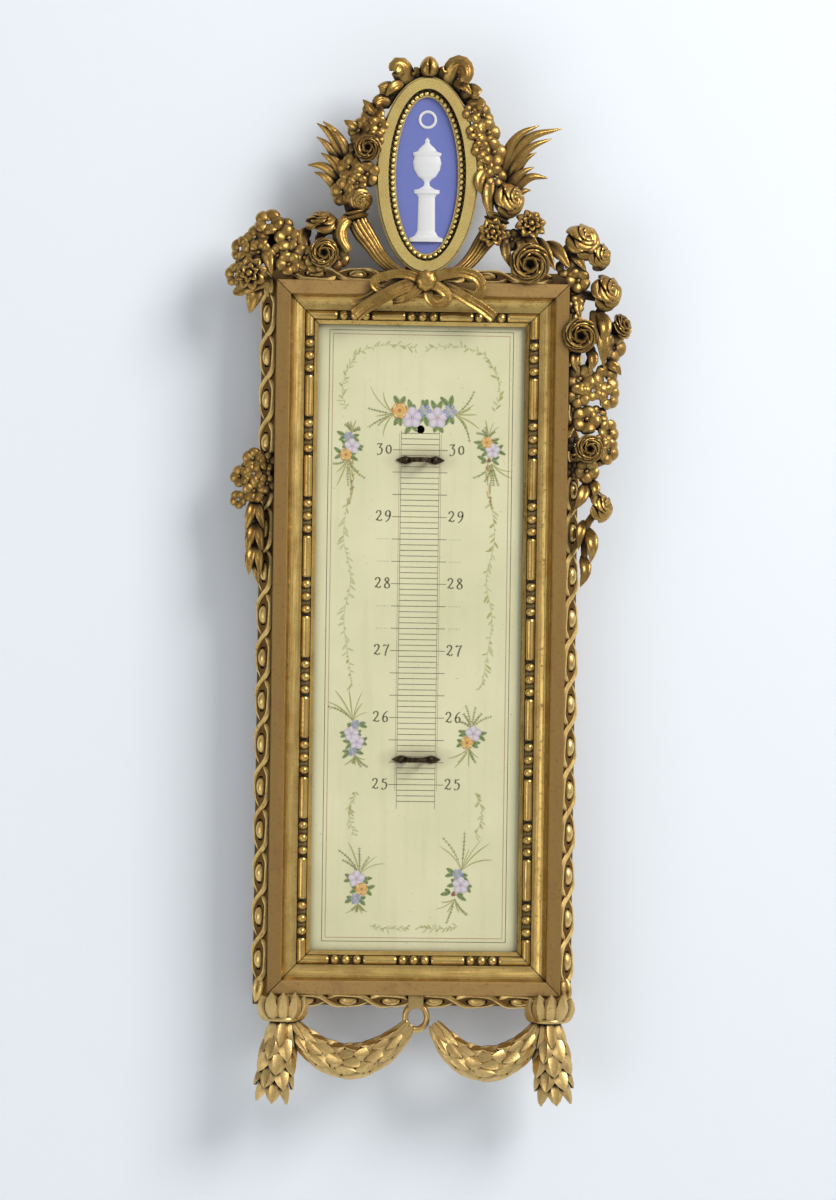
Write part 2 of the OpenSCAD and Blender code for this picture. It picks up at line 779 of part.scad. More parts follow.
// Ribbon bow that lies over the top moulding
bow_y = front_y - 0.7;
module ribbon_bow() {
    color(gilt)
        difference() {
            translate([0, 0, half_h - laid_out[2]]) {
                translate([0.6, bow_y + 0.6, 142.4])
                    rotate([90, 0, 0])
                    cylinder(r1 = 5, r2 = 3.4, h = 6.2, $fn = 9);
                for (sx = [-1, 1])
                    scale([sx, 1, 1]) {
                        blade([[0, bow_y - 1, 141.6], [8, bow_y - 1.6, 143.4], [15, bow_y - 2.4, 142.6],
                               [21, bow_y - 2, 138.6], [24, bow_y, 136.6]], 4.6, 1.3, 0.1);
                        blade([[0, bow_y - 1, 141], [9, bow_y - 1, 138.6], [16, bow_y - 0.8, 136.6],
                               [22, bow_y - 0.8, 137.4], [25, bow_y, 137.4]], 4.2, 1.2, 0.1);
                        blade([[0, bow_y - 1.4, 142], [7, bow_y - 2.2, 139], [14, bow_y - 2, 135.4],
                               [21, bow_y - 0.8, 131.8], [28, bow_y, 129]], 5.4, 1.4, 0.1);
                    }
            }
            horn_space(-1);
            horn_space(1);
            translate([-40, front_y - seat_gap, half_h - 24])
                cube([80, 10, 24]);
        }
}

// Space of the medallion, for what is carved against its edge
module medal_space() {
    translate([medal_x, medal_y + medal_back_t + 0.1, medal_z])
        rotate([90, 0, 0])
        scale([1, (medal_b + 0.2) / (medal_a + 0.2), 1])
        cylinder(r = medal_a + 0.2, h = medal_back_t + ring_t + 0.2, $fn = 48);
}

module round_medallion() {
    color(gilt)
        difference() {
            union()
                children();
            medal_space();
            horn_space(-1);
            horn_space(1);
        }
}

// Leaves that crown the medallion
crest_spots = [[-12.4, -3.6], [-9.6, -1.4], [-6.4, 0.4], [-3.2, 1.4], [0, 1.8], [3.4, 1.4], [6.8, 0.2],
               [10.4, -2], [13.6, -4.8]];
module crest_leaves() {
    y = medal_y - 3;
    top = medal_z + medal_b;
    module crown(x0, z0, x1, z1, w, t = 1.6) {
        leaf([medal_x + x0, y + 1, top + z0], [medal_x + x1, y - 3, top + z1], w, [0, -1.4, 0], t);
    }
    round_medallion() {
        crown(-0.6, -3, 0.4, 8, 9.4);
        crown(5, -3, 10.6, 7, 8.6);
        crown(9, -4, 17, 1.6, 7);
        crown(-5, -3, -10.4, 6.4, 8.4);
        crown(-8.6, -4, -16.6, 1, 6.4);
        crown(12, -6.4, 20, -4.4, 5);
        crown(-11.4, -6, -18.8, -3.4, 4.4);
        stem([for (c = crest_spots) [medal_x + c[0], y + 0.4, top + c[1]]], 2);
    }
}

// Flower garlands beside the medallion
left_chain = [[-18.6, 217.4, -28, 3.6, 10, -20], [-22.4, 212, -28, 4.2, 0, -25], [-24.6, 205.4, -29, 4.6, 5, -20],
              [-30, 200, -28, 5, 15, -35], [-25.4, 194.4, -30, 4.8, 0, -10], [-31, 189, -29, 4.6, 10, -30],
              [-26.4, 184, -30, 4.4, -5, 0], [-31.4, 179.6, -29, 4.8, 0, -25]];
right_chain = [[20.4, 217.4, -28, 3.6, 10, 25], [24.4, 211.6, -28, 4.6, 0, 30], [25.4, 203.6, -29, 3.6, 0, 20],
               [29.4, 206, -28, 4.4, 10, 35], [28.6, 196, -29, 5.4, 5, 25], [28.4, 187, -29, 4.4, 0, 15]];
function stem_of(list) = [for (f = list) root(f)];
module medallion_garland_left() {
    round_medallion() follow() {
        blossoms(left_chain);
        leaf([-19.4, -27, 216], [-26, -29, 221], 4.4);
        leaf([-24, -26, 208], [-30, -28, 212], 4);
        stem(stem_of(left_chain), 1.7);
        stem([[-31.4, -27, 179.6], [-27, -29, 177], [-25.6, -29.6, 173.4]], 2);
    }
}

module medallion_garland_right() {
    round_medallion() follow() {
        blossoms(right_chain);
        roses([[34, 176.6, -31, 7, 10, 35]]);
        leaf([27.4, -27, 187], [26.4, -30, 171.6], 5.4, [-1, -2, 0]);
        leaf([26, -26, 192], [22.8, -28, 186], 4);
        stem(stem_of(right_chain), 1.7);
        stem([[28.4, -27, 187], [27, -26.4, 181], [29, -26.4, 177], [34, -27.6, 176.6]], 2);
    }
}

// Palm sprays beside the medallion. A blade is [root, tip, width, bow].
left_palm = [[[-32.6, -20.2, 184], [-42.4, -24.2, 207.4], 5.6, [-2, -2, 1]],
             [[-32, -20.8, 184], [-38, -26.2, 203.4], 4.8, [1, -2, 1]],
             [[-32.6, -20.2, 182], [-42.6, -23.2, 196], 4.8, [-1, -2, 2]],
             [[-33, -20.2, 180.6], [-47.4, -23.2, 190.6], 5, [0, -2, 1.6]],
             [[-33, -20.6, 179], [-43.4, -24.2, 185], 4.4, [0, -1.6, 1]]];
right_palm = [[[34.6, -21, 183], [56, -25, 207.6], 5.4, [-3.4, -2, 3.4]],
              [[34, -21, 184], [47.4, -26, 208.4], 5, [-3, -2, 1]],
              [[35, -21.4, 183], [52, -26, 202.4], 4.6, [-2.4, -2, 2]],
              [[35, -21, 181.6], [50.2, -24, 187.6], 5, [0, -2, 2]],
              [[35.4, -21, 182], [45, -24, 191.6], 4.6, [-1, -2, 1.4]],
              [[35, -21, 180], [42.4, -23, 182], 4, [0, -1.6, 0.6]]];
module palm(blades, foot) {
    heart = blades[2][0] + [0, -0.4, -3];
    color(gilt)
        difference() {
            follow() {
                for (b = blades) {
                    blade(bowed(b[0], b[1], b[3], 5), b[2], 1.5);
                    stem([heart, b[0] + (b[1] - b[0]) * 0.12 + b[3] * 0.4], 1.6);
                }
                stem([heart, foot], 1.9);
                stem([foot, foot - [0, 0, 1.4]], 1.9);
                stem([heart, heart + [0, 0.4, 2]], 2.2);
            }
            horn_space(-1);
            horn_space(1);
        }
}

module palm_left() {
    palm(left_palm, [-30.4, -20.4, 172.6]);
}

module palm_right() {
    palm(right_palm, [32.4, -21.4, 172.6]);
}

// Flowers over the top left corner
corner_blossoms = [[-64, 167, -26, 6.4, 30, -15], [-55.6, 162.6, -27, 4.8, 20, 10],
                   [-69.6, 158.4, -26, 5.6, 10, -30], [-74.2, 153.4, -25, 3.8, 0, -40],
                   [-68.4, 152.4, -28, 3.8, 0, -10], [-59.6, 156.4, -30, 4.6, 10, 0],
                   [-51.8, 154, -30, 5, 10, 0], [-59, 149.2, -31, 4, 0, 0]];
module corner_flowers_left() {
    seated() {
        blossoms(corner_blossoms);
        blossoms([[-43, 153.4, -31, 7, 5, 0], [-77, 143.6, -25, 4, 0, -35]]);
        roses([[-41.4, 167.4, -28, 6.6, 60, 10]]);
        stars([[-69, 145.6, -28, 7, 0, -20]]);
        leaf([-66, -26, 142], [-69.6, -25, 129.6], 7, [-1, -2, 0]);
        leaf([-78, -25, 136.2], [-59.4, -28, 141.6], 6, [0, -2, 1.4], 1.6);
        leaf([-33.6, -24.4, 163], [-36, -28, 154.4], 5.4, [3, -2, 0], 1.6);
        stem(stem_of(corner_blossoms), stem_r + 0.4);
        stem([[-64, -22, 163], [-69, -20, 157], [-70, -19, 149], [-71, -20.6, 142], [-76.6, -22, 140]],
             stem_r + 1);
        stem([[-59, -28, 150.4], [-51.8, -26, 154], [-43, -27, 153.4], [-41.4, -25, 163],
              [-35, -23.6, 165.6], [-34, -23.6, 162]], stem_r + 0.5);
        stem([[-70, -19, 148], [-66, -22.6, 141]], stem_r + 0.6);
    }
}

// Roses over the top right corner
module rose_spray_right() {
    color(gilt)
        difference() {
            follow() {
                stars([[27.2, 164.2, -36, 6, 10, -5], [41.6, 167.6, -29, 6.4, 20, 10]]);
                roses([[42.2, 153, -32, 7.4, -10, 0], [65.2, 160.4, -27, 8.6, 10, 35]]);
                leaf([46, -24.4, 160.4], [58, -31, 144], 7, [0, -1.6, 1.6], 1.6);
                leaf([50, -25, 157.6], [62, -29, 149.6], 6, [0, -1.5, 1]);
                leaf([57, -25, 158], [66, -29, 147], 5.6, [1.4, -2, 0]);
                leaf([33, -26, 160], [36, -32, 151], 5, [-1, -2, 0]);
                stem([[27.2, -33.6, 164.2], [33.6, -28, 161], [41.6, -25.6, 165.6], [42.2, -28, 156],
                      [49, -24, 158.6], [57, -22.6, 157.6], [65.2, -22.4, 158.6]], stem_r + 0.6);
                stem([[57, -22.6, 157.6], [62.6, -20, 151], [66.6, -20, 147.6]], stem_r + 0.8);
            }
            horn_space(1);
            case_space(seat_gap);
        }
}

// Garland down the right side
module garland_right_upper() {
    seated() {
        roses([[74.2, 140.8, -27, 7.6, 5, 40], [62.8, 125, -31, 6.6, -10, -5]]);
        blossoms([[81.4, 122.8, -25, 5, -5, 45], [78.6, 128.6, -24, 4.4, 30, 50], [63.1, 103, -30, 6, 5, -5],
                  [75, 103, -28, 6, 0, 35], [61.4, 142, -30, 3.4, 0, 0]]);
        leaf([70, -22.4, 134], [73.4, -28, 112], 7, [2.6, -1.4, 0], 1.6);
        leaf([67.4, -25, 118], [61.6, -31, 109], 5, [-1, -1.5, 0]);
        leaf([68.4, -24.4, 118], [69, -28, 106], 5, [1, -1.5, 0]);
        leaf([66.6, -23, 140.4], [62, -30, 131], 5.4, [-1, -1.6, 0]);
        stem([[62, -27, 142], [68, -22, 140.4], [74.2, -22.6, 139], [70.4, -22, 131], [79.6, -21.4, 127],
              [80.6, -21.6, 123]], stem_r + 0.4);
        stem([[70.4, -22, 131], [65, -26, 125], [68, -23, 116], [65, -26.4, 105], [75, -24.6, 103]],
             stem_r + 0.4);
        stem([[65, -26.4, 105], [67, -26, 97]], stem_r + 0.4);
    }
}

lower_blossoms = [[67.4, 89.2, -29, 5.8, 10, 5], [77.6, 85, -26, 4.6, 0, 40], [67.8, 78, -30, 5.6, -5, 5],
                  [76.8, 75.8, -26, 4.4, -10, 40], [66.2, 68.4, -28, 4.8, -10, -5]];
module garland_right_lower() {
    seated() {
        blossoms(lower_blossoms);
        roses([[73.8, 54.6, -26, 6.4, 5, 45]]);
        leaf([67, -24.6, 65], [62.8, -28, 52], 4.8, [-1, -1.5, 0]);
        leaf([69, -24, 64], [71, -27, 58.4], 4);
        leaf([67.6, -22.4, 49], [64.4, -25, 37], 4.4, [0, -1, 0]);
        leaf([68.6, -23.6, 47], [69.6, -25.6, 31.4], 5, [1.4, -1.5, 0]);
        leaf([67, -23.4, 34], [64, -24.6, 21], 4.4);
        stem([[67.6, -26, 93.6], [67.4, -26, 89], [77.6, -23.6, 85], [67.8, -26.6, 78], [76.8, -23.6, 75.8],
              [66.2, -25.6, 68.4], [68.6, -23, 61], [73.8, -22.6, 54.6], [67.8, -22.6, 46], [67.4, -22.8, 32]],
             stem_r);
    }
}

// Small drop of flowers and bell leaves on the left side
drop_blossoms = [[-67.6, 71.4, -24, 3.8, 10, -15], [-61.6, 70, -27, 3.2, 10, 0], [-72.6, 64, -23, 3.6, 0, -30],
                 [-67, 58.8, -25, 4.6, 0, -10], [-62, 62, -27, 3.4, 0, 0], [-73.6, 54.6, -22, 3.2, -10, -30]];
drop_leaves = [[50, 3.6], [41, 3.4], [32.6, 2.6]];
module flower_drop_left() {
    seated(-1) {
        blossoms(drop_blossoms);
        for (d = drop_leaves, sx = [-1, 1])
            leaf([-66.4, -22.4, d[0] + 6], [-66.4 + sx * d[1], -25, d[0] - 4.4], 3.8, [sx * 1.2, -1.2, 0]);
        leaf([-66, -21.6, 31], [-64.6, -23.6, 20.6], 3.4);
        stem([[-62, -25, 62], [-61.6, -25, 70], [-67.6, -22, 71.4], [-72.6, -21, 64], [-67, -22.6, 58.8],
              [-73.6, -20.4, 54.6]], stem_r);
        stem([[-67, -22.6, 58.8], [-66.4, -21.6, 50], [-66.4, -21.6, 40], [-66, -21.6, 28]], stem_r + 0.2);
    }
}

// Bottom: leaf cups, pendants, laurel swags and their ring
bottom_y = -case_d - 4;
cup_x = [-half_w + 6.6, half_w - 4];
cup_z = -half_h - flare_w;
module leaf_cup(x) {
    sides = 16;
    rows = [[4.6, 0], [4, 1.6], [5.2, 2.4], [6.4, 5.4], [8.4, 10.4], [5, 7]];
    rings = [for (i = [0 : len(rows) - 1])
        [for (j = [0 : sides - 1])
            let (a = 360 * j / sides, tip = j % 2 == 1 ? 0 : (i == 4 ? 1 : (i == 3 ? 0.3 : 0)),
                 r = rows[i][0] * (i == 4 && j % 2 == 1 ? 0.86 : 1))
            [x + r * cos(a), bottom_y + r * sin(a), cup_z - 5 + rows[i][1] + tip * 1.4
                - (i == 4 && j % 2 == 1 ? 2 : 0)]]];
    color(gilt)
        difference() {
            skin(rings, [x, bottom_y, cup_z - 5], [x, bottom_y, cup_z + 1]);
            case_space(seat_gap);
        }
}

// Pendant of overlapping leaves: rows of pointed lobes, each row tucked under the one above
module leaf_pendant(x, tip, side, r) {
    z = [0, 6, 6.4, 13, 13.4, 20, 20.4, 26.4, 26.8, 31, 31.4];
    rows = [for (i = [0 : len(r) - 1])
        [for (j = [0 : 11])
            let (a = -30 * j - (i % 4 < 2 ? 0 : 30), point = i % 2 == 1 && j % 2 == 0 ? 1.6 : 0)
            [x + side * i * 0.12 + (r[i] + point * 0.2) * cos(a), bottom_y + 0.8 * r[i] * sin(a),
             cup_z - 5.2 - z[i] - point]]];
    color(gilt)
        skin(rows, [x, bottom_y, cup_z - 5.1], [x + side, bottom_y, tip]);
}

// Laurel swag: rows of leaves that lap from both ends towards the middle
function swag_point(a, b, sag, k) = a + (b - a) * k - [0, 0, 4 * sag * k * (1 - k)];
module laurel_swag(a, b, sag, r_end, r_mid) {
    rows = 11;
    ks = [for (i = [0 : rows - 1]) each [i / rows, (i + 0.92) / rows]];
    rings = [for (i = [0 : len(ks) - 1])
        let (k = ks[i], p = swag_point(a, b, sag, k),
             along = unit(swag_point(a, b, sag, k + 0.01) - swag_point(a, b, sag, k - 0.01)),
             side = unit(cross(along, [0, 1, 0])), up = cross(along, side),
             big = k < 0.5 ? i % 2 == 1 : i % 2 == 0,
             r = (r_end + (r_mid - r_end) * sin(180 * min(max(k * 1.06 - 0.03, 0), 1))) * (big ? 1.1 : 0.86))
        [for (j = [0 : 9])
            let (t = 36 * j + (floor(i / 2) % 2) * 18, lobe = big && j % 2 == 0 ? 1.08 : 1)
            p + side * r * lobe * cos(t) + up * r * lobe * 0.85 * sin(t)]];
    color(gilt)
        skin(rings, a, b);
}

module swag_ring() {
    ring_z = cup_z - 4;
    color(gilt)
        difference() {
            union() {
                translate([1.4, bottom_y + 3, ring_z])
                    scale([0.88, 1, 1])
                    rotate([90, 0, 0])
                    rotate_extrude($fn = 48)
                    translate([5, 0])
                    circle(r = 1.4, $fn = 24);
                translate([-1.8, bottom_y + 1.4, ring_z + 4])
                    cube([6, 5, 8]);
            }
            case_space(seat_gap);
        }
}

back_board();
case_wall(2);  // case_side_left
case_wall(0);  // case_side_right
case_wall(1);  // case_top
case_wall(3);  // case_bottom
rail(2);  // rail_left
rail(0);  // rail_right
rail(1);  // rail_top
rail(3);  // rail_bottom
scale_plate();
plate_brads();
back_nails();
tube_clip(upper_clip_z);  // upper_tube_clip
tube_clip(lower_clip_z);  // lower_tube_clip
clip_pins();
hanger_plate();
hanger_screws();
hanging_ring();
medallion_back();
medallion_frame();
medallion_plaque();
medallion_relief();
medallion_beads();
horn_left();
horn_right();
ribbon_bow();
crest_leaves();
medallion_garland_left();
medallion_garland_right();
palm_left();
palm_right();
corner_flowers_left();
rose_spray_right();
garland_right_upper();
garland_right_lower();
flower_drop_left();
leaf_cup(cup_x[0]);  // leaf_cup_left
leaf_cup(cup_x[1]);  // leaf_cup_right
leaf_pendant(cup_x[0] - 3.6, cup_z - 38.3, 1, [3.7, 5.6, 4.9, 7, 6.2, 7.8, 6.6, 7.2, 5.8, 5.8, 4]);  // leaf_pendant_left
leaf_pendant(cup_x[1] + 2.6, cup_z - 38.5, -1, [3.3, 4.4, 4, 5.8, 5.2, 7.2, 6.2, 7.6, 6.4, 6.6, 4.8]);  // leaf_pendant_right
laurel_swag([cup_x[0] + 3, bottom_y, cup_z - 5.9], [-1.5, bottom_y - 3, cup_z - 5.5], 15.6, 2, 6);  // laurel_swag_left
laurel_swag([8.6, bottom_y + 3, cup_z - 6.3], [cup_x[1] - 4, bottom_y, cup_z - 5.9], 16, 2, 6);  // laurel_swag_right
swag_ring();
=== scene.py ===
import math
import random
from functools import partial

import bpy
from bpy.props import FloatProperty, FloatVectorProperty, IntProperty, PointerProperty, StringProperty
from mathutils import Matrix, Vector


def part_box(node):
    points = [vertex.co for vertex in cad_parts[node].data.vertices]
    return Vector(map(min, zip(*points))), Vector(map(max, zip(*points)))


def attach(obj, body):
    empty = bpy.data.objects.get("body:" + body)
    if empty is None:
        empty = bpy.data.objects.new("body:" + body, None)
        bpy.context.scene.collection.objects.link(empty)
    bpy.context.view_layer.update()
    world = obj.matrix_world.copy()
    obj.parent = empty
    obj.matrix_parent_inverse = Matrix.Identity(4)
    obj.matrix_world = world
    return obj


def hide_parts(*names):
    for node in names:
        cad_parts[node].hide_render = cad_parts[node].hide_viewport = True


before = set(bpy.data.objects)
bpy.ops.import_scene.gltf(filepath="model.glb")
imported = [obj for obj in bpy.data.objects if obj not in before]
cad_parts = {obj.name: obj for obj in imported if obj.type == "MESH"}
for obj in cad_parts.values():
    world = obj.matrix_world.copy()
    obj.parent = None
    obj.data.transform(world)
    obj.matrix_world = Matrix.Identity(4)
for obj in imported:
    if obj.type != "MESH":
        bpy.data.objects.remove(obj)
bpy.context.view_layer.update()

bl_info = {
    "name": "Giltwood Wall Barometer",
    "version": (1, 0, 0),
    "blender": (4, 5, 0),
    "location": "3D View > Sidebar > Barometer",
    "description": "Gilds the packed barometer, carves its flowers and swags, and paints its scale plate",
    "category": "Object",
}

# Everything new is carved on a bench: in millimetres, lying on its back, with its front up. The bench's X is
# the frame's X, its Y is the frame's Z and its Z is the frame's -Y. hang() turns a finished piece up.
MM = 0.001


def bench_box(node):
    """Lowest and highest corners of a CAD node on the bench, in millimetres."""
    low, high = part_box(node)
    return (Vector((low[0], low[2], -high[1])) / MM, Vector((high[0], high[2], -low[1])) / MM)


# Settings

class GildingSettings(bpy.types.PropertyGroup):
    """Colours of the gold leaf, of what shows through it, and of the dust and painted shade in its hollows.
    """
    leaf: StringProperty(name="Leaf", description="Burnished gold leaf, sRGB hex", default="DCB96E")
    leaf_worn: StringProperty(name="Worn leaf", description="Rubbed gold leaf, sRGB hex", default="AD8444")
    bole: StringProperty(name="Bole", description="Red-brown clay under the leaf, sRGB hex", default="84502E")
    # The hollow colour is dust and painted shade together, laid into the hollows that ambient occlusion finds
    hollow: StringProperty(name="Hollow", description="Dust and old varnish in the hollows, sRGB hex",
                           default="160B05")
    hollow_reach: FloatProperty(name="Hollow reach", description="How far a hollow darkens from its bottom",
                                default=0.0035, min=0.0005, max=0.02, unit="LENGTH")
    leaf_size: FloatProperty(name="Cloud size", description="Size of the clouds of thin leaf", default=0.009,
                             min=0.002, max=0.05, unit="LENGTH")


class PlateSettings(bpy.types.PropertyGroup):
    """Sizes and colours of the painted plate."""
    ground: StringProperty(name="Ground", description="Cream oil ground, sRGB hex", default="E2DCB2")
    inch: FloatProperty(name="Inch", description="Distance from one number to the next", default=0.02707,
                        min=0.02, max=0.03, unit="LENGTH")
    digit_height: FloatProperty(name="Digit height", description="Height of the numbers", default=0.0042,
                                min=0.003, max=0.008, unit="LENGTH")
    rule_width: FloatProperty(name="Rule width", description="Width of a ruled line", default=0.00022,
                              min=0.0001, max=0.0006, unit="LENGTH")
    paint: FloatProperty(name="Paint", description="Thickness of one coat of paint", default=0.00002,
                         min=0.00001, max=0.0001, unit="LENGTH")


class CarvingSettings(bpy.types.PropertyGroup):
    """How the carved flowers and leaves are cut."""
    petals: IntProperty(name="Petals", description="Petals of a blossom", default=5, min=4, max=8)
    star_petals: IntProperty(name="Star petals", description="Petals of a pointed flower", default=8, min=5,
                             max=12)
    reeds: IntProperty(name="Reeds", description="Reeds round a horn", default=12, min=6, max=20)
    egg_pitch: FloatProperty(name="Egg pitch", description="Distance from one egg of the edge to the next",
                             default=0.0174, min=0.012, max=0.025, unit="LENGTH")
    swag_rows: IntProperty(name="Swag rows", description="Rows of leaves in half a swag", default=6, min=4,
                           max=12)
    row_leaves: IntProperty(name="Row leaves", description="Leaves round a swag in one row", default=6, min=4,
                            max=10)


class StudioSettings(bpy.types.PropertyGroup):
    """Camera, lamps and wall."""
    distance: FloatProperty(name="Distance", description="From the wall to the camera", default=1.5, min=0.8,
                            max=4, unit="LENGTH")
    side: FloatProperty(name="Side", description="Camera's place to the left of the middle", default=-0.0714,
                        min=-0.5, max=0.5, unit="LENGTH")
    height: FloatProperty(name="Height", description="Camera's height above the middle", default=0.008,
                          min=-0.5, max=0.5, unit="LENGTH")
    turn: FloatVectorProperty(name="Turn", description="Camera's tilt, roll and turn", subtype="EULER",
                              default=(math.radians(90.29), math.radians(-0.8), math.radians(-2.77)))
    view_height: FloatProperty(name="View height", description="Height of the wall that the picture takes in",
                               default=0.4927, min=0.3, max=1, unit="LENGTH")
    key_power: FloatProperty(name="Key power", description="Large soft lamp on the right", default=17.5,
                             min=1, max=200, unit="POWER")
    fill_power: FloatProperty(name="Fill power", description="Soft lamp low on the left", default=4.8, min=0,
                              max=100, unit="POWER")
    wall: StringProperty(name="Wall", description="Pale wall and floor, sRGB hex", default="F1F5F8")


# Helpers

def bench(x, z, y):
    """A place in the frame, in millimetres, as a place on the bench."""
    return Vector((x, z, -y))


def moved(x, y=0, z=0):
    """The matrix of a move on the bench, by three lengths or a vector."""
    return Matrix.Translation(x if isinstance(x, Vector) else (x, y, z))


def turned(degrees, axis="Z"):
    """The matrix of a turn on the bench."""
    return Matrix.Rotation(math.radians(degrees), 4, axis)


def aim(angle):
    """The flat direction at an angle in radians."""
    return Vector((math.cos(angle), math.sin(angle)))


def deselect():
    if bpy.context.object and bpy.context.object.mode != "OBJECT":
        bpy.ops.object.mode_set(mode="OBJECT")
    bpy.ops.object.select_all(action="DESELECT")


def only(obj):
    """Selects obj alone and makes it the active object."""
    deselect()
    obj.select_set(True)
    bpy.context.view_layer.objects.active = obj
    return obj


def modifier(obj, kind, **settings):
    """Adds a modifier with its settings and applies it."""
    only(obj)
    added = obj.modifiers.new(kind.title(), kind)
    for name, value in settings.items():
        setattr(added, name, value)
    bpy.ops.object.modifier_apply(modifier=added.name)
    return obj


def thicken(blank, thickness, rounded=True):
    """Gives a sheet its thickness below its upper face, and rounds it."""
    modifier(blank, "SOLIDIFY", thickness=thickness, offset=-1)
    return modifier(blank, "SUBSURF", levels=1, render_levels=1) if rounded else blank


def shape(obj, move):
    """Moves each vertex of obj to where move(position) says."""
    for vertex in obj.data.vertices:
        vertex.co = move(vertex.co)
    return obj


def sheet(along, across, place):
    """A grid of along by across faces whose point (u, v), each from 0 to 1, goes to place(u, v)."""
    deselect()
    bpy.ops.mesh.primitive_grid_add(x_subdivisions=along, y_subdivisions=across, size=1)
    return shape(bpy.context.object, lambda co: place(co.x + 0.5, co.y + 0.5))


def ball(segments, rings, move):
    """A round ball of radius 1, each of whose points goes to move(position)."""
    deselect()
    bpy.ops.mesh.primitive_uv_sphere_add(segments=segments, ring_count=rings, radius=1)
    return shape(bpy.context.object, move)


def outwards(obj):
    """Merges doubles and turns all faces outwards."""
    only(obj)
    bpy.ops.object.mode_set(mode="EDIT")
    bpy.ops.mesh.select_all(action="SELECT")
    bpy.ops.mesh.remove_doubles(threshold=1e-4)
    bpy.ops.mesh.normals_make_consistent(inside=False)
    bpy.ops.object.mode_set(mode="OBJECT")
    return obj


def copy_of(blank, matrix=Matrix()):
    """A copy of a blank with its own mesh, placed by matrix."""
    obj = blank.copy()
    obj.data = blank.data.copy()
    obj.data.transform(matrix)
    if matrix.determinant() < 0:
        obj.data.flip_normals()
    bpy.context.collection.objects.link(obj)
    return obj


def joined(parts, name):
    """Joins parts into one object."""
    deselect()
    for part in parts:
        part.select_set(True)
    bpy.context.view_layer.objects.active = parts[0]
    if len(parts) > 1:
        bpy.ops.object.join()
    parts[0].name = parts[0].data.name = name
    return parts[0]


def discard(*blanks):
    for blank in blanks:
        bpy.data.objects.remove(blank)


def bend_along(obj, points):
    """Bends obj, which lies along X and may have any length, into a smooth curve through points, with its
    upper side kept up."""
    data = bpy.data.curves.new("path", "CURVE")
    data.dimensions = "3D"
    data.twist_mode = "Z_UP"
    data.resolution_u = 6
    data.use_stretch = True
    data.use_deform_bounds = True
    spline = data.splines.new("BEZIER")
    spline.bezier_points.add(len(points) - 1)
    for knot, point in zip(spline.bezier_points, points):
        knot.co = point
        knot.handle_left_type = knot.handle_right_type = "AUTO"
    curve = bpy.data.objects.new("path", data)
    bpy.context.collection.objects.link(curve)
    modifier(obj, "CURVE", object=curve, deform_axis="POS_X")
    discard(curve)
    return obj


def bowed(a, b, bow, steps=4):
    """Points from a to b, with the middle pushed aside by bow."""
    a, b, bow = Vector(a), Vector(b), Vector(bow)
    return [a + (b - a) * (i / steps) + bow * 4 * (i / steps) * (1 - i / steps) for i in range(steps + 1)]


def hang(obj, material, slot, *nodes, angle=40):
    """Turns a finished piece up off the bench, gives it its material, and lets it ride on the case, in place
    of its CAD nodes."""
    only(obj)
    obj.data.transform(turned(90, "X") @ Matrix.Scale(MM, 4))
    bpy.ops.object.shade_smooth_by_angle(angle=math.radians(angle))
    obj.data.materials.clear()
    obj.data.materials.append(material)
    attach(obj, "case")
    if nodes:
        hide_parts(*nodes)
    return obj


# Materials

def linear(hex_colour):
    """sRGB hex to a linear colour."""
    parts = [int(hex_colour[i:i + 2], 16) / 255 for i in (0, 2, 4)]
    return tuple(c / 12.92 if c <= 0.04045 else ((c + 0.055) / 1.055) ** 2.4 for c in parts) + (1.0,)


def add_node(tree, kind, *inputs, links={}, **settings):
    """Adds a shader node and sets its properties. inputs are its first inputs in their order and links names
    others. Each is a value, a colour in hex, a socket, or a node, which stands for its first output."""
    node = tree.nodes.new("ShaderNode" + kind)
    for name, value in settings.items():
        setattr(node, name, value)
    for name, source in (*enumerate(inputs), *links.items()):
        if isinstance(source, bpy.types.Node):
            source = source.outputs[0]
        if isinstance(source, bpy.types.NodeSocket):
            tree.links.new(source, node.inputs[name])
        else:
            node.inputs[name].default_value = linear(source) if isinstance(source, str) else source
    return node


def blank_material(name):
    """A material without nodes, and the function that adds its nodes."""
    material = bpy.data.materials.new(name)
    material.use_nodes = True
    material.node_tree.nodes.clear()
    return material, partial(add_node, material.node_tree)


def grains(width, detail, **more):
    """Settings of a noise whose grains are so many millimetres wide, with so much finer detail in them."""
    return {"Scale": 1 / (width * MM), "Detail": detail, **more}


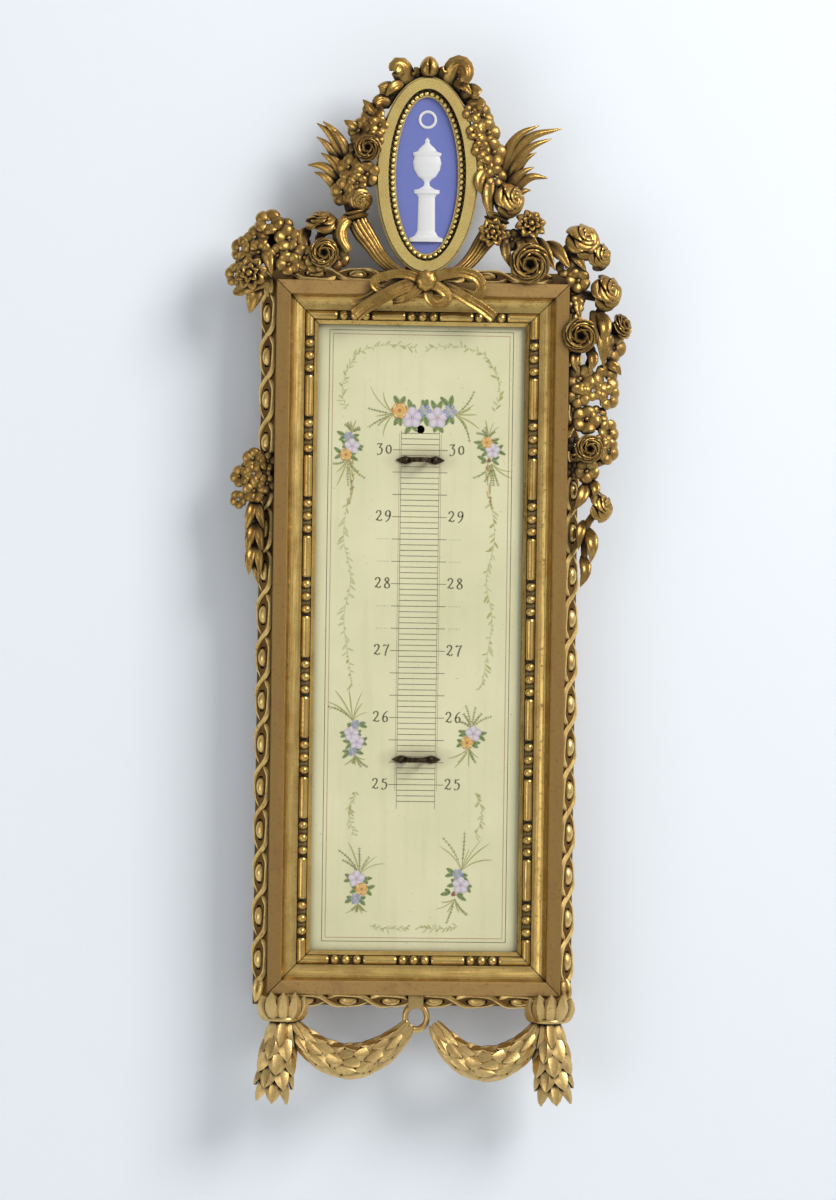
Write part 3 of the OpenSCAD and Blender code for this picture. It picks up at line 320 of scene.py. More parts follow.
def gold_leaf(name, leaf, worn, wear=0.5, burnish=0.3, grain=(1, 1, 1), flats=None, reach=1.0, bumps=1.0,
              alone=False):
    """Water-gilt leaf on bole and gesso: bright where it was burnished, darkened in the hollows by dust and
    by painted shade, and rubbed through to the red-brown clay in clouds. grain stretches the fine scratches
    along a moulding. flats says how far out and up the outer flats begin, and in which colour they were left
    matt. reach and bumps change how far the dust and painted shade of the hollows reach and how rough the
    leaf lies, and alone says that only the piece's own hollows darken it. The scratches are drawn coarser
    than real ones, so that they show."""
    gilding = bpy.context.scene.gilding
    rubbed_flat = "946844"
    material, add = blank_material(name)
    place = add("TexCoord").outputs["Object"]
    clouds = add("TexNoise", place, links=grains(gilding.leaf_size / MM, 5, Roughness=0.6))
    stretched = add("Mapping", place, links={"Scale": grain})
    scratches = add("TexNoise", stretched, links=grains(0.5556, 3))
    grit = add("TexNoise", place, links=grains(1.4286, 4))
    # Dust and painted shade: where ambient occlusion finds a hollow, the leaf darkens to the hollow colour
    # and grows duller
    openness = add("AmbientOcclusion", links={"Distance": gilding.hollow_reach * reach}, samples=8,
                   only_local=alone).outputs["AO"]
    hollow = add("MapRange", openness, 0.48, 0.92, 1, 0)
    colour = add("MixRGB", add("MapRange", clouds, 0.42, 0.68, 0, wear), leaf, worn)
    if flats:
        flat_x, flat_z, flat_colour = flats
        at = add("SeparateXYZ", place).outputs
        beside = add("Math", add("Math", at["X"], operation="ABSOLUTE"), flat_x, operation="SUBTRACT")
        above = add("Math", add("Math", at["Z"], operation="ABSOLUTE"), flat_z, operation="SUBTRACT")
        on_flat = add("MapRange", add("Math", beside, above, operation="MAXIMUM"), -0.3 * MM, 0.3 * MM)
        matt = add("MixRGB", add("MapRange", clouds, 0.54, 0.72, 0, 0.6), flat_colour, rubbed_flat)
        colour = add("MixRGB", on_flat, colour, matt)
    bare = add("MapRange", grit, 0.56, 0.72, 0, wear)
    clay = add("MixRGB", bare, colour, gilding.bole)
    # The hollow colour laid into the hollows is dust and painted shade together
    dust_and_painted_shade = add("MixRGB", hollow, clay, gilding.hollow)
    dull = add("Math", hollow, bare, operation="MAXIMUM")
    if flats:
        dull = add("Math", dull, add("Math", on_flat, 0.6, operation="MULTIPLY"), operation="MAXIMUM")
    metal = add("MapRange", dull, 0, 1, 1, 0.25)
    smooth = add("MapRange", scratches, 0.3, 0.7, burnish - 0.07, burnish + 0.13)
    rough = add("Math", dull, 0.35, smooth, operation="MULTIPLY_ADD")
    relief = add("Math", scratches, 0.4, clouds, operation="MULTIPLY_ADD")
    bump = add("Bump", links={"Height": relief, "Strength": 0.35 * bumps, "Distance": 0.3 * MM})
    add("OutputMaterial", add("BsdfPrincipled", dust_and_painted_shade, metal, rough, links={"Normal": bump}))
    return material


def oil_ground():
    """Cream oil ground on a thin panel: satin, slightly clouded, streaked along the board, stained round the
    two clips, and darker near the rails and clips that stand over it, which is painted shade."""
    material, add = blank_material("Oil ground on panel")
    place = add("TexCoord").outputs["Object"]
    clouds = add("TexNoise", place, links=grains(35.714, 6))
    aged = add("MixRGB", add("MapRange", clouds, 0.35, 0.7), bpy.context.scene.plate.ground, "D6D2A6")
    boards = add("TexNoise", add("Mapping", place, links={"Scale": (1, 1, 0.06)}), links=grains(3.846, 4))
    streaked = add("MixRGB", add("MapRange", boards, 0.55, 0.75, 0, 0.35), aged, "CFC99A")
    specks = add("TexNoise", place, links=grains(1.111, 2))
    colour = add("MixRGB", add("MapRange", specks, 0.72, 0.78, 0, 0.5), streaked, "8F8458")
    stain_size = Vector((17.5, 1000, 6.2)) * MM
    for clip in ("upper_tube_clip", "lower_tube_clip"):
        low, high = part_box(clip)
        middle = Vector(low).lerp(Vector(high), 0.5)
        near = add("Mapping", place, links={"Scale": [1 / size for size in stain_size],
                                            "Location": [-m / size for m, size in zip(middle, stain_size)]})
        flat = add("VectorMath", near, (1, 0, 1), operation="MULTIPLY")
        away = add("VectorMath", flat, operation="LENGTH").outputs["Value"]
        ragged = add("Math", clouds, 0.9, away, operation="MULTIPLY_ADD")
        colour = add("MixRGB", add("MapRange", ragged, 0.7, 1.45, 0.5, 0), colour, "9A8468")
    # Painted shade: the ground darkens where ambient occlusion finds the rails and clips close over it
    openness_for_painted_shade = add("AmbientOcclusion", links={"Distance": 6 * MM}, samples=8).outputs["AO"]
    darkened = add("MixRGB", add("MapRange", openness_for_painted_shade, 0.45, 0.95, 0.55, 0), colour, "6E6646")
    bump = add("Bump", links={"Height": boards, "Strength": 0.25, "Distance": 0.2 * MM})
    add("OutputMaterial", add("BsdfPrincipled", darkened, 0, 0.42, links={"Normal": bump}))
    return material


def pigment(name, colour):
    """A thin stroke of oil or ink that lets a little of the ground through where it has rubbed."""
    material, add = blank_material(name)
    place = add("TexCoord").outputs["Object"]
    rubbed = add("MapRange", add("TexNoise", place, links=grains(0.6667, 3)), 0.4, 0.75, 0, 0.3)
    mixed = add("MixRGB", rubbed, colour, bpy.context.scene.plate.ground)
    add("OutputMaterial", add("BsdfPrincipled", mixed, 0, 0.5))
    return material


def stoneware(name, colour, mottle, roughness):
    """Unglazed coloured stoneware, pressed in a mould: matt, fine-grained and even."""
    material, add = blank_material(name)
    place = add("TexCoord").outputs["Object"]
    mottled = add("MixRGB", add("TexNoise", place, links=grains(6.25, 5)), colour, mottle)
    bump = add("Bump", links={"Height": add("TexNoise", place, links=grains(0.4, 2)), "Strength": 0.2,
                              "Distance": 0.1 * MM})
    add("OutputMaterial", add("BsdfPrincipled", mottled, 0, roughness, links={"Normal": bump}))
    return material


def old_softwood():
    """Planed pine, darkened by age: brown, with its rings drawn out along the length."""
    material, add = blank_material("Old pine")
    place = add("TexCoord").outputs["Object"]
    drawn = add("Mapping", place, links={"Scale": (1, 1, 0.05)})
    rings = add("TexNoise", drawn, links=grains(4.545, 6, Distortion=0.6))
    dirt = add("TexNoise", place, links=grains(45.45, 4))
    wood = add("MixRGB", rings, "5A3D22", "8E6A41")
    soiled = add("MixRGB", dirt, wood, "4B3520", blend_type="MULTIPLY")
    bump = add("Bump", links={"Height": rings, "Strength": 0.4, "Distance": 0.3 * MM})
    add("OutputMaterial", add("BsdfPrincipled", add("MixRGB", 0.5, wood, soiled), 0, 0.72,
                              links={"Normal": bump}))
    return material


def old_metal(name, colour, stain, metallic, roughness):
    """Hand-worked metal, long handled and tarnished in patches."""
    material, add = blank_material(name)
    place = add("TexCoord").outputs["Object"]
    patches = add("TexNoise", place, links=grains(2.381, 5))
    mixed = add("MixRGB", add("MapRange", patches, 0.4, 0.62), colour, stain)
    rough = add("MapRange", patches, 0, 1, roughness - 0.1, roughness + 0.2)
    bump = add("Bump", links={"Height": patches, "Strength": 0.3, "Distance": 0.2 * MM})
    add("OutputMaterial", add("BsdfPrincipled", mixed, metallic, rough, links={"Normal": bump}))
    return material


FINISHES = {}
CAD_PIECES = {
    "upright": "rail_left rail_right",
    "level": "rail_top rail_bottom",
    "edge_ground": "case_side_left case_side_right case_top case_bottom",
    "ring": "medallion_frame medallion_beads",
    "bright": "swag_ring",
    "ground": "scale_plate",
    "pine": "back_board medallion_back",
    "iron": "plate_brads back_nails",
    "bronze": "upper_tube_clip lower_tube_clip clip_pins",
    "brass": "hanger_plate hanger_screws hanging_ring",
    "blue": "medallion_plaque",
    "white": "medallion_relief",
}


class BAROMETER_OT_finish_case(bpy.types.Operator):
    """Mix the finishes and give each CAD piece that stays its own"""
    bl_idname = "barometer.finish_case"
    bl_label = "Finish the case"

    def execute(self, context):
        gilding = context.scene.gilding
        flat_width = 5.6
        corner = (bench_box("rail_right")[1] - Vector((flat_width, flat_width, 0))) * MM
        rail = partial(gold_leaf, leaf=gilding.leaf, worn=gilding.leaf_worn, wear=0.55, burnish=0.27)
        FINISHES.update(
            # Painted light: the flats of the top and bottom rails are given a lighter colour than those of
            # the side rails, for the light that falls more on them
            upright=rail("Gilt moulding upright", grain=(1, 1, 0.04), flats=(corner.x, corner.y, "98773F")),
            level=rail("Gilt moulding level", grain=(0.04, 1, 1), flats=(corner.x, corner.y, "AE8A50")),
            # The ring's leaf is lighter and yellower than the other gilding: burnished leaf, lightened
            # further as a painted reflection of the bright room
            ring=gold_leaf("Gilt ring", "FFE28C", "E8BC70", 0.5, 0.26, reach=0.6, bumps=0.4),
            carving=gold_leaf("Gilt carving", "BE9852", "86602F", 0.8, 0.27, reach=2.6, bumps=1.8),
            bright=gold_leaf("Bright gilt carving", "E0BE7C", "C29C5C", 0.4, 0.3, reach=0.7),
            edge=gold_leaf("Gilt edge", "F0CC80", "C0955A", 0.5, 0.3, reach=0.5, bumps=1.4),
            # The case's own edge, seen between the carved eggs and ribbons, is a darker and duller gold than
            # they are
            edge_ground=gold_leaf("Dark edge ground", "80602F", "5A3E20", 0.8, 0.5, reach=1.6, alone=True),
            ground=oil_ground(),
            blue=stoneware("Blue stoneware", "6F78B8", "666FB2", 0.62),
            white=stoneware("White stoneware", "E6E5E2", "DAD9D6", 0.5),
            pine=old_softwood(),
            iron=old_metal("Forged iron", "2C2622", "4A3226", 0.6, 0.6),
            bronze=old_metal("Tarnished bronze", "4A3A22", "2A2116", 0.7, 0.42),
            brass=old_metal("Old brass", "9A7638", "6B4E26", 0.9, 0.4))
        for finish, names in CAD_PIECES.items():
            for name in names.split():
                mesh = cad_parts[name].data
                mesh.materials.clear()
                mesh.materials.append(FINISHES[finish])
        return {"FINISHED"}


# Carving: blanks are cut once, and every flower and leaf is a copy of one

BLANKS = {}


def petal(width, cup, dome, curl, thick, pointed=0.0):
    """A petal that lies along X from the flower's middle to 1, cupped upwards, domed across, and rolled
    back at its tip."""
    def place(u, v):
        side = 2 * v - 1
        half = width * math.sin(math.pi * (0.14 + (0.72 + 0.14 * pointed) * u)) ** (0.6 + 0.6 * pointed)
        rise = cup * u ** 1.6 - curl * max(0, u - 0.55) ** 2 * 4
        return Vector((0.1 + 0.9 * u - 0.07 * side * side * u, half * side, rise - dome * half * side * side))
    return thicken(sheet(3, 3, place), thick)


def foil(along, across, thickness, half_at, rise_at, rounded=True):
    """A leaf from 0 to 1 along X. half_at gives its half width, and rise_at its height from that, for a place
    u along it and side across it, from -1 to 1."""
    def place(u, v):
        side = 2 * v - 1
        half = half_at(u, side)
        return Vector((u, half * side, rise_at(u, side, half)))
    return thicken(sheet(along, across, place), thickness, rounded)


def whorl(blank, count, size=1.0, lift=0.0, turn=0.0, lap=0.0, raise_by=0.0):
    """count copies of a petal round Z, each lifted at its tip and lapped over the next."""
    return [copy_of(blank, moved(0, 0, raise_by) @ turned(turn + 360 * k / count) @ turned(-lift, "Y")
                    @ turned(lap, "X") @ Matrix.Scale(size, 4)) for k in range(count)]


def knob(radius, height, squash=0.8):
    """A small round boss in the middle of a flower."""
    deselect()
    bpy.ops.mesh.primitive_ico_sphere_add(subdivisions=2, radius=radius)
    return shape(bpy.context.object, lambda co: Vector((co.x, co.y, co.z * squash + height)))


# What is left of the radius of a round piece where its end is closed
CLOSED = 0.02


def rod(length, radius_at, sides, steps, reeds=0):
    """A round rod along X with closed ends, its radius given from 0 at its start to 1 at its end."""
    def place(u, v):
        turn = 2 * math.pi * v
        reed = 0.84 + 0.16 * abs(math.cos(reeds * turn / 2)) if reeds else 1
        radius = radius_at(u) * reed * (CLOSED if u in (0, 1) else 1)
        return Vector((u * length, radius * math.cos(turn), radius * math.sin(turn)))
    return outwards(sheet(steps, sides, place))


def tube(points, radius_at, sides, steps, reeds=0):
    """A rod that is bent into a stem along points."""
    return bend_along(rod(100, radius_at, sides, steps, reeds), points)


def leaves(blank, *rows):
    """Copies of a leaf blank, each given in the frame as (width, (x, z, y), ...) and bent along its
    points."""
    made = []
    for width, *points in rows:
        points = [bench(*point) for point in points]
        if len(points) == 2:
            points = bowed(*points, (0, 0, 1.6))
        made.append(bend_along(copy_of(BLANKS[blank], Matrix.Diagonal((30, width, width, 1))), points))
    return made


def facing(x, z, y, radius, pitch, yaw):
    """Where a flower sits on the bench: its middle in the frame, its radius, and how far its face tips up and
    turns to the right. It is turned about its own stalk too, so that no two show the same face."""
    spin = (x * 37 + z * 19) % 72
    return (moved(bench(x, z, y)) @ turned(-90, "X") @ turned(yaw) @ turned(90 - pitch, "X") @ turned(spin)
            @ Matrix.Scale(radius, 4))


def sprigs(blank, *flowers):
    """Copies of a flower blank, each placed as facing() says."""
    return [copy_of(BLANKS[blank], facing(*flower)) for flower in flowers]


def stems(*runs):
    """Stems given in the frame as (radius, (x, z, y), ...)."""
    return [tube([bench(*point) for point in run[1:]], lambda u, r=run[0]: r, 7, 3 * len(run))
            for run in runs]


def carve(node, *groups, finish="carving"):
    """Joins the parts of a carved group and hangs it in place of its CAD node."""
    parts = [part for group in groups for part in group]
    return hang(joined(parts, "carved_" + node), FINISHES[finish], "gilt_carving", node)


class BAROMETER_OT_cut_blanks(bpy.types.Operator):
    """Cut the four kinds of flower, the leaves, the palm blade and the ribbon that are copied"""
    bl_idname = "barometer.cut_blanks"
    bl_label = "Cut the blanks"

    def execute(self, context):
        carving = context.scene.carving
        pad = petal(0.62, 0.42, 0.5, 0.55, 0.26)
        BLANKS["blossom"] = joined(whorl(pad, carving.petals, 1.16, lap=9) + [knob(0.15, 0.16)], "blossom")
        cupped = petal(0.66, 0.5, -0.25, 0.3, 0.16)
        BLANKS["hollow"] = joined(whorl(cupped, 6, 1, 12, 0, 12) + whorl(cupped, 6, 0.92, 32, 30, 12, 0.04)
                                  + whorl(cupped, 5, 0.78, 52, 10, 12, 0.1)
                                  + whorl(cupped, 3, 0.34, 50, 40, 10, 0.12) + [knob(0.62, 0.06, 0.5)],
                                  "hollow")
        outer = petal(0.62, 0.45, -0.1, 0.75, 0.16)
        BLANKS["rose"] = joined(whorl(outer, 5, lap=14) + whorl(outer, 5, 0.84, 26, 30, 16, 0.05)
                                + whorl(outer, 4, 0.66, 48, 10, 18, 0.1)
                                + whorl(outer, 3, 0.5, 66, 50, 20, 0.14)
                                + whorl(outer, 2, 0.36, 78, 10, 20, 0.2), "rose")
        sharp = petal(0.26, 0.4, -0.9, 0.3, 0.2, 1.0)
        BLANKS["star"] = joined(whorl(sharp, carving.star_petals, lap=6)
                                + whorl(sharp, carving.star_petals - 2, 0.66, 26, 22, 6, 0.04)
                                + [knob(0.2, 0.3)], "star")
        discard(pad, cupped, outer, sharp)

        def leaf_half(u, side):
            half = 0.5 * math.sin(math.pi * (0.03 + 0.97 * u) ** 0.75) ** 0.8
            return half * (1 + 0.07 * math.cos(10 * math.pi * u) * abs(side))

        def leaf_rise(u, side, half):
            vein = 0.07 * math.cos(10 * math.pi * u - 4 * abs(side)) * abs(side) * (1 - u)
            return half * (0.42 * abs(side) ** 0.8 - 0.5 * abs(side) ** 3 + vein)

        BLANKS["leaf"] = foil(12, 6, 0.16, leaf_half, leaf_rise)
        BLANKS["shell"] = foil(
            8, 8, 0.2, lambda u, side: 0.5 * math.sin(math.pi * (0.16 + 0.68 * u)) ** 0.8,
            lambda u, side, half: half * (0.3 - 0.5 * side * side + 0.1 * math.cos(4 * math.pi * side)))
        BLANKS["laurel"] = foil(
            5, 4, 0.18, lambda u, side: 0.5 * math.sin(math.pi * (0.1 + 0.9 * u) ** 0.9) ** 0.75,
            lambda u, side, half: half * (0.5 - 0.8 * side * side - 0.3 * math.exp(-30 * side * side)),
            rounded=False)
        BLANKS["blade"] = foil(
            12, 4, 0.2, lambda u, side: 0.5 * (1 - u ** 2.4) ** 0.8 * min(1, 0.45 + 1.6 * u),
            lambda u, side, half: half * (0.55 - 0.9 * abs(side) + 0.35 * side * side))
        BLANKS["ribbon"] = foil(
            20, 8, 0.16, lambda u, side: 0.5,
            lambda u, side, half: 0.16 * abs(side) ** 3 + 0.05 * math.cos(3 * math.pi * side))
        return {"FINISHED"}


class BAROMETER_OT_carve_edge(bpy.types.Operator):
    """Carve the eggs and the crossing ribbons on the flared edge of the case"""
    bl_idname = "barometer.carve_edge"
    bl_label = "Carve the edge"

    def execute(self, context):
        pitch = context.scene.carving.egg_pitch / MM
        flare, flare_depth, corner_gap = 5.6, 6.5, 6
        ribbon_width, ribbon_thickness, ribbon_height, swing = 2.3, 0.9, 1.4, 4.2
        crossing_height, ribbon_dome = 0.4, 1.2
        egg_width, egg_length, egg_height, egg_lift = 2.4, 3.8, 2.5, 0.2
        low, high = bench_box("rail_right")
        half_width, half_height, front = high.x, bench_box("rail_top")[1].y, low.z

        def ribbon(side):
            def place(u, v):
                turn = 2 * math.pi * v
                wave = math.sin(turn) + 0.15 * math.sin(3 * turn)
                slant = math.cos(turn) + 0.45 * math.cos(3 * turn)
                along = Vector((side * swing * math.pi / pitch * slant, 1)).normalized()
                return Vector((side * swing * wave + along.y * ribbon_width * (u - 0.5),
                               2 * pitch * v - along.x * ribbon_width * (u - 0.5),
                               ribbon_height + crossing_height * side * math.cos(turn)
                               - ribbon_dome * (2 * u - 1) ** 2))
            return thicken(sheet(3, 28, place), ribbon_thickness, rounded=False)

        egg = ball(14, 9, lambda co: Vector((egg_width * co.x, egg_length * co.z, -egg_height * co.y)))
        crossed = joined([ribbon(1), ribbon(-1)], "crossed_ribbons")
        for k, side in enumerate(("right", "top", "left", "bottom")):
            reach, half = (half_width, half_height) if k % 2 == 0 else (half_height, half_width)
            count = int((2 * half - corner_gap) / pitch)
            slope = (turned(90 * k) @ moved(reach + flare / 2, 0, front - flare_depth / 2)
                     @ Matrix.Rotation(math.atan2(flare_depth, flare), 4, "Y"))
            parts = []
            for i in range(count):
                start = slope @ moved(0, (i - count / 2) * pitch)
                parts.append(copy_of(egg, start @ moved(0, pitch / 2, egg_lift)))
                if i % 2 == 0:
                    parts.append(copy_of(crossed, start))
            if side in ("right", "left"):
                lean = 1 if side == "right" else -1
                parts += leaves("leaf", *[(5.6, (lean * (reach + 2.6), up * (half - 6.4), 2.2 - front),
                                           (lean * (reach + 3.4), up * half, 1.9 - front),
                                           (lean * (reach + 4.8), up * (half + 4.8), 4.8 - front))
                                          for up in (1, -1)])
            hang(joined(parts, "edge_carving_" + side), FINISHES["edge"], "gilt_edge")
        discard(egg, crossed)
        return {"FINISHED"}


# Middle of the medallion, and the left horn from its root to its mouth as (x, z, y, radius) from that middle
MEDAL_X = 1
HORN = ((-1, 143.6, -36.2, 1), (-3.8, 144.6, -35.8, 1.7), (-11.9, 147.6, -32.6, 2.4),
        (-17.7, 152.6, -29.4, 2.9), (-22.5, 159.4, -27.6, 3.4), (-26.6, 165.4, -27, 4.2),
        (-28.4, 169.4, -27, 4))
# Radii of the collar from its foot to its rim
COLLAR = (CLOSED, 4.3, 4.6, 5.1, 5.3, 5.1, 4.5, 4.3, 4.5, 4.9, 5, 4.8, 4.2, CLOSED)


class BAROMETER_OT_carve_horns(bpy.types.Operator):
    """Carve the two reeded horns with their collars"""
    bl_idname = "barometer.carve_horns"
    bl_label = "Carve the horns"

    def execute(self, context):
        reeds = context.scene.carving.reeds

        def radius_at(u):
            place = u * (len(HORN) - 1)
            k = min(int(place), len(HORN) - 2)
            return HORN[k][3] + (HORN[k + 1][3] - HORN[k][3]) * (place - k)

        def collar_point(u, v):
            radius = COLLAR[round(u * (len(COLLAR) - 1))]
            turn = 2 * math.pi * v
            rise = 3.4 * min(max((u * 13 - 1) / 11, 0), 1) - 2.2
            return Vector((radius * math.cos(turn), radius * math.sin(turn), rise))

        body = tube([bench(MEDAL_X + x, z, y) for x, z, y, r in HORN], radius_at, 6 * reeds, 28, reeds)
        collar = outwards(sheet(len(COLLAR) - 1, 28, collar_point))
        collar.data.transform(moved(bench(MEDAL_X - 28.8, 170.8, -27)) @ turned(14) @ turned(-90, "X"))
        left = joined([body, collar], "carved_horn_left")
        right = copy_of(left, moved(2 * MEDAL_X) @ Matrix.Scale(-1, 4, (1, 0, 0)))
        right.name = right.data.name = "carved_horn_right"
        for horn, node in ((left, "horn_left"), (right, "horn_right")):
            hang(horn, FINISHES["carving"], "gilt_carving", node, angle=60)
        return {"FINISHED"}


class BAROMETER_OT_carve_bow(bpy.types.Operator):
    """Carve the ribbon bow"""
    bl_idname = "barometer.carve_bow"
    bl_label = "Carve the bow"

    def execute(self, context):
        def band(width, *points):
            ribbon = copy_of(BLANKS["ribbon"], Matrix.Diagonal((60, width, width * 0.8, 1)))
            return bend_along(ribbon, [bench(*point) for point in points])

        def knot_point(co):
            gather = 4.6 * (1 - 0.12 * abs(math.sin(4 * math.atan2(co.y, co.x))))
            dent = 1.6 * max(0, 0.35 - math.hypot(co.x, co.y)) if co.z > 0 else 0
            return Vector((gather * co.x, gather * co.y, 2.4 * co.z - dent)) + bench(0.8, 143.6, -37)

        carve("ribbon_bow", [
            band(5.4, (-1, 143.4, -36), (-9, 140.6, -37), (-17, 136.4, -37.4), (-23.6, 132.4, -36.4),
                 (-27.6, 129, -35)),
            band(4.2, (-1, 144, -35.4), (-8, 143.6, -35.6), (-16, 140, -35.4), (-22, 136, -35),
                 (-28, 133.4, -34.6)),
            band(3.6, (-1, 144, -36.8), (-8, 146, -37.2), (-15, 145.4, -37), (-20, 142.6, -36),
                 (-17, 139.6, -35.4), (-9, 141, -35)),
            band(3.4, (-0.6, 142.4, -36.6), (-4, 138.6, -37.2), (-8.6, 135.8, -36.8), (-12.6, 135.2, -35)),
            band(4, (1, 143, -36.8), (6.6, 140.4, -38), (9.4, 136.6, -38), (6.4, 134, -37), (2.6, 136, -36),
                 (1.4, 141, -35.6)),
            band(4.4, (2, 144, -36.6), (9, 146.4, -37.6), (17, 146.8, -37.6), (22.6, 143.4, -37),
                 (22, 138.4, -36.4), (15, 139, -35.6), (6, 142, -35)),
            band(4.6, (2, 143, -35.6), (11, 140, -36), (18, 136, -36.4), (24, 132.4, -36), (28.6, 129, -35)),
            ball(32, 12, knot_point)])
        return {"FINISHED"}


# Blossoms of the chains beside the medallion as (x, z, y, radius, tip up, turn right), and the palms' blades
LEFT_CHAIN = ((-21.6, 211.7, -29, 4.8, 10, -20), (-18.6, 206.4, -30.5, 4, 0, 10),
              (-26.6, 204.2, -28, 5.4, 5, -30), (-20.2, 200.8, -31, 3.6, -10, 10),
              (-28.8, 196.4, -27, 4.4, 10, -40), (-30.7, 189.4, -29, 5.2, 5, -25),
              (-23.4, 186.6, -30.5, 5.2, -10, 5), (-27.2, 183, -31, 3.8, -15, -5),
              (-33.4, 179.4, -28, 5.4, -5, -35))
RIGHT_CHAIN = ((18.6, 212.4, -30, 3.6, 10, 10), (23.2, 211.4, -28.5, 5.2, 10, 30),
               (25.4, 204.4, -29, 5.6, 0, 25), (19.8, 204.6, -31, 3.2, 0, 0), (27.6, 196.6, -29, 5.8, 5, 20),
               (22.4, 197.6, -31, 3.6, 0, 0), (24.2, 191, -30, 3.4, -5, 5), (28.8, 186.6, -29, 4.6, -5, 20))
LEFT_PALM = ((5.4, (-30.4, 190, -21.4), (-35, 198.6, -23.4), (-39.4, 204.4, -24.4), (-43.8, 207.8, -23.4)),
             (5.1, (-29.6, 191, -21.4), (-33.4, 200, -24.4), (-37.4, 205, -25.4), (-41.4, 208.4, -24.8)),
             (4.8, (-29, 190, -22.4), (-32, 198, -25.4), (-35, 202.4, -26), (-38.8, 205.4, -25.4)),
             (5.1, (-31, 188, -20.4), (-36.4, 195.4, -22.4), (-40, 199.6, -23), (-43.8, 202.4, -22.4)),
             (5.4, (-31.6, 182, -20.4), (-36.6, 187.4, -23.4), (-41, 190.4, -23.4), (-47.2, 191, -21.4)),
             (4.8, (-31, 183, -21.4), (-35, 190, -24.4), (-38.4, 193.4, -24.4), (-42, 195.8, -23.4)),
             (4.8, (-32, 179, -20.4), (-37, 183.4, -23.4), (-41, 186.6, -23.8), (-44.6, 188, -22.4)),
             (4.5, (-31, 184, -22.4), (-33.6, 190, -25), (-36, 193, -25.4), (-38.6, 194.6, -25)))
RIGHT_PALM = ((5.7, (31.6, 184, -20.4), (34.6, 194, -23.4), (42, 203, -25), (55.8, 207.6, -23.4)),
              (5.4, (31, 185, -21.4), (33, 196, -25), (38, 204, -25.8), (46.6, 208.6, -24.4)),
              (5.1, (32.4, 183, -20.4), (36.6, 192, -23.8), (43, 199.4, -25), (51.8, 203.4, -23.4)),
              (4.8, (33, 182, -20.4), (37.6, 190, -23), (41.4, 195, -24), (45.6, 197.6, -23.4)),
              (5.4, (33, 179, -20.4), (38, 184, -23.4), (43.6, 187.6, -24), (50.4, 187.4, -22.4)),
              (4.8, (32.6, 180, -21.4), (36.4, 186, -24.4), (40.4, 189.6, -24.8), (44.6, 191.6, -23.8)),
              (4.5, (34, 177, -20.4), (38, 180.4, -23.4), (41, 182, -23.4), (43.6, 182.4, -22.4)))


def roots(flowers):
    """Where the stem runs behind a chain of flowers."""
    return [(x, z, y + r * 0.5) for x, z, y, r, pitch, yaw in flowers]


class BAROMETER_OT_carve_medallion_flowers(bpy.types.Operator):
    """Carve the curled leaves that crown the medallion, and the garlands and palms beside it"""
    bl_idname = "barometer.carve_medallion_flowers"
    bl_label = "Carve the medallion's flowers"

    def execute(self, context):
        def bud_point(co):
            split = 1.3 * math.exp(-60 * co.x * co.x) * max(co.z, 0)
            return bench(1.3, 230.6, -28.6) + Vector((
                (3.9 - 0.8 * co.y) * co.x, 4.4 * co.y, 3.4 * co.z - split))

        carve("crest_leaves", [ball(28, 16, bud_point)],
              leaves("shell", (8, (8.6, 221.4, -26), (9.8, 228, -30), (13, 231.6, -32), (15.8, 228.4, -34),
                              (14.6, 223.8, -34)),
                     (9.4, (-5, 222.6, -26), (-9, 227.6, -30), (-11, 230, -32), (-12.6, 227.6, -34.4)),
                     (5, (5.6, 224.6, -26), (6.6, 228.4, -29), (7.2, 229, -31.4)),
                     (5, (-2.6, 224.6, -26), (-4, 228, -29), (-4.6, 228.4, -31.4)),
                     (7, (14, 218.6, -27), (18, 221, -30), (21.6, 219.6, -32)),
                     (6, (16.6, 215.4, -28), (20.4, 216.4, -30), (23.2, 214.6, -31.6)),
                     (6, (-11, 219.6, -27), (-15, 221.6, -30), (-19, 220.6, -31.4)),
                     (5.6, (-14, 215.6, -28), (-18, 216.6, -30), (-20.6, 214.8, -31.6))),
              leaves("leaf", (4.6, (11, 224.6, -29), (15, 223, -32), (18.4, 219.2, -32)),
                     (4.6, (-9, 224, -29), (-13, 222, -32), (-16.4, 218, -32))),
              stems((1.9, (-17, 213.6, -26), (-13, 219, -26), (-8.6, 223.4, -26), (-3, 225.8, -26),
                     (1.6, 226.2, -26), (6, 225.8, -26), (11, 223.6, -26), (15.6, 219, -26),
                     (19.4, 213.6, -26))))
        carve("medallion_garland_left", sprigs("blossom", *LEFT_CHAIN),
              sprigs("hollow", (-22.8, 197, -30.5, 5.8, 0, -10)),
              sprigs("rose", (-26, 176, -30, 5.6, -25, 0)),
              leaves("leaf", (4.4, (-19, 210, -28), (-25.6, 217, -29)),
                     (4, (-27, 205, -27), (-33, 208.6, -27))),
              stems((1.6, *roots(LEFT_CHAIN))))
        carve("medallion_garland_right", sprigs("blossom", *RIGHT_CHAIN),
              sprigs("rose", (34.4, 177, -30, 8, 0, 42)),
              leaves("leaf", (6, (26.6, 188, -28), (25.6, 178, -31), (27.6, 168, -31)),
                     (5, (24.6, 190, -29), (21.8, 185, -31.6), (22.8, 179, -31)),
                     (5, (30, 186, -27), (30, 176, -30), (33, 168.6, -30))),
              stems((1.6, *roots(RIGHT_CHAIN))))
        carve("palm_left", leaves("blade", *LEFT_PALM),
              stems((1.9, (-30.6, 190, -21.6), (-31.6, 184, -21.4), (-31, 177, -21), (-29.6, 171.6, -21.4))))
        carve("palm_right", leaves("blade", *RIGHT_PALM),
              stems((1.9, (31.4, 186, -21.6), (33.4, 181, -21.4), (33, 176, -21), (31.6, 171.6, -21.4))))
        return {"FINISHED"}


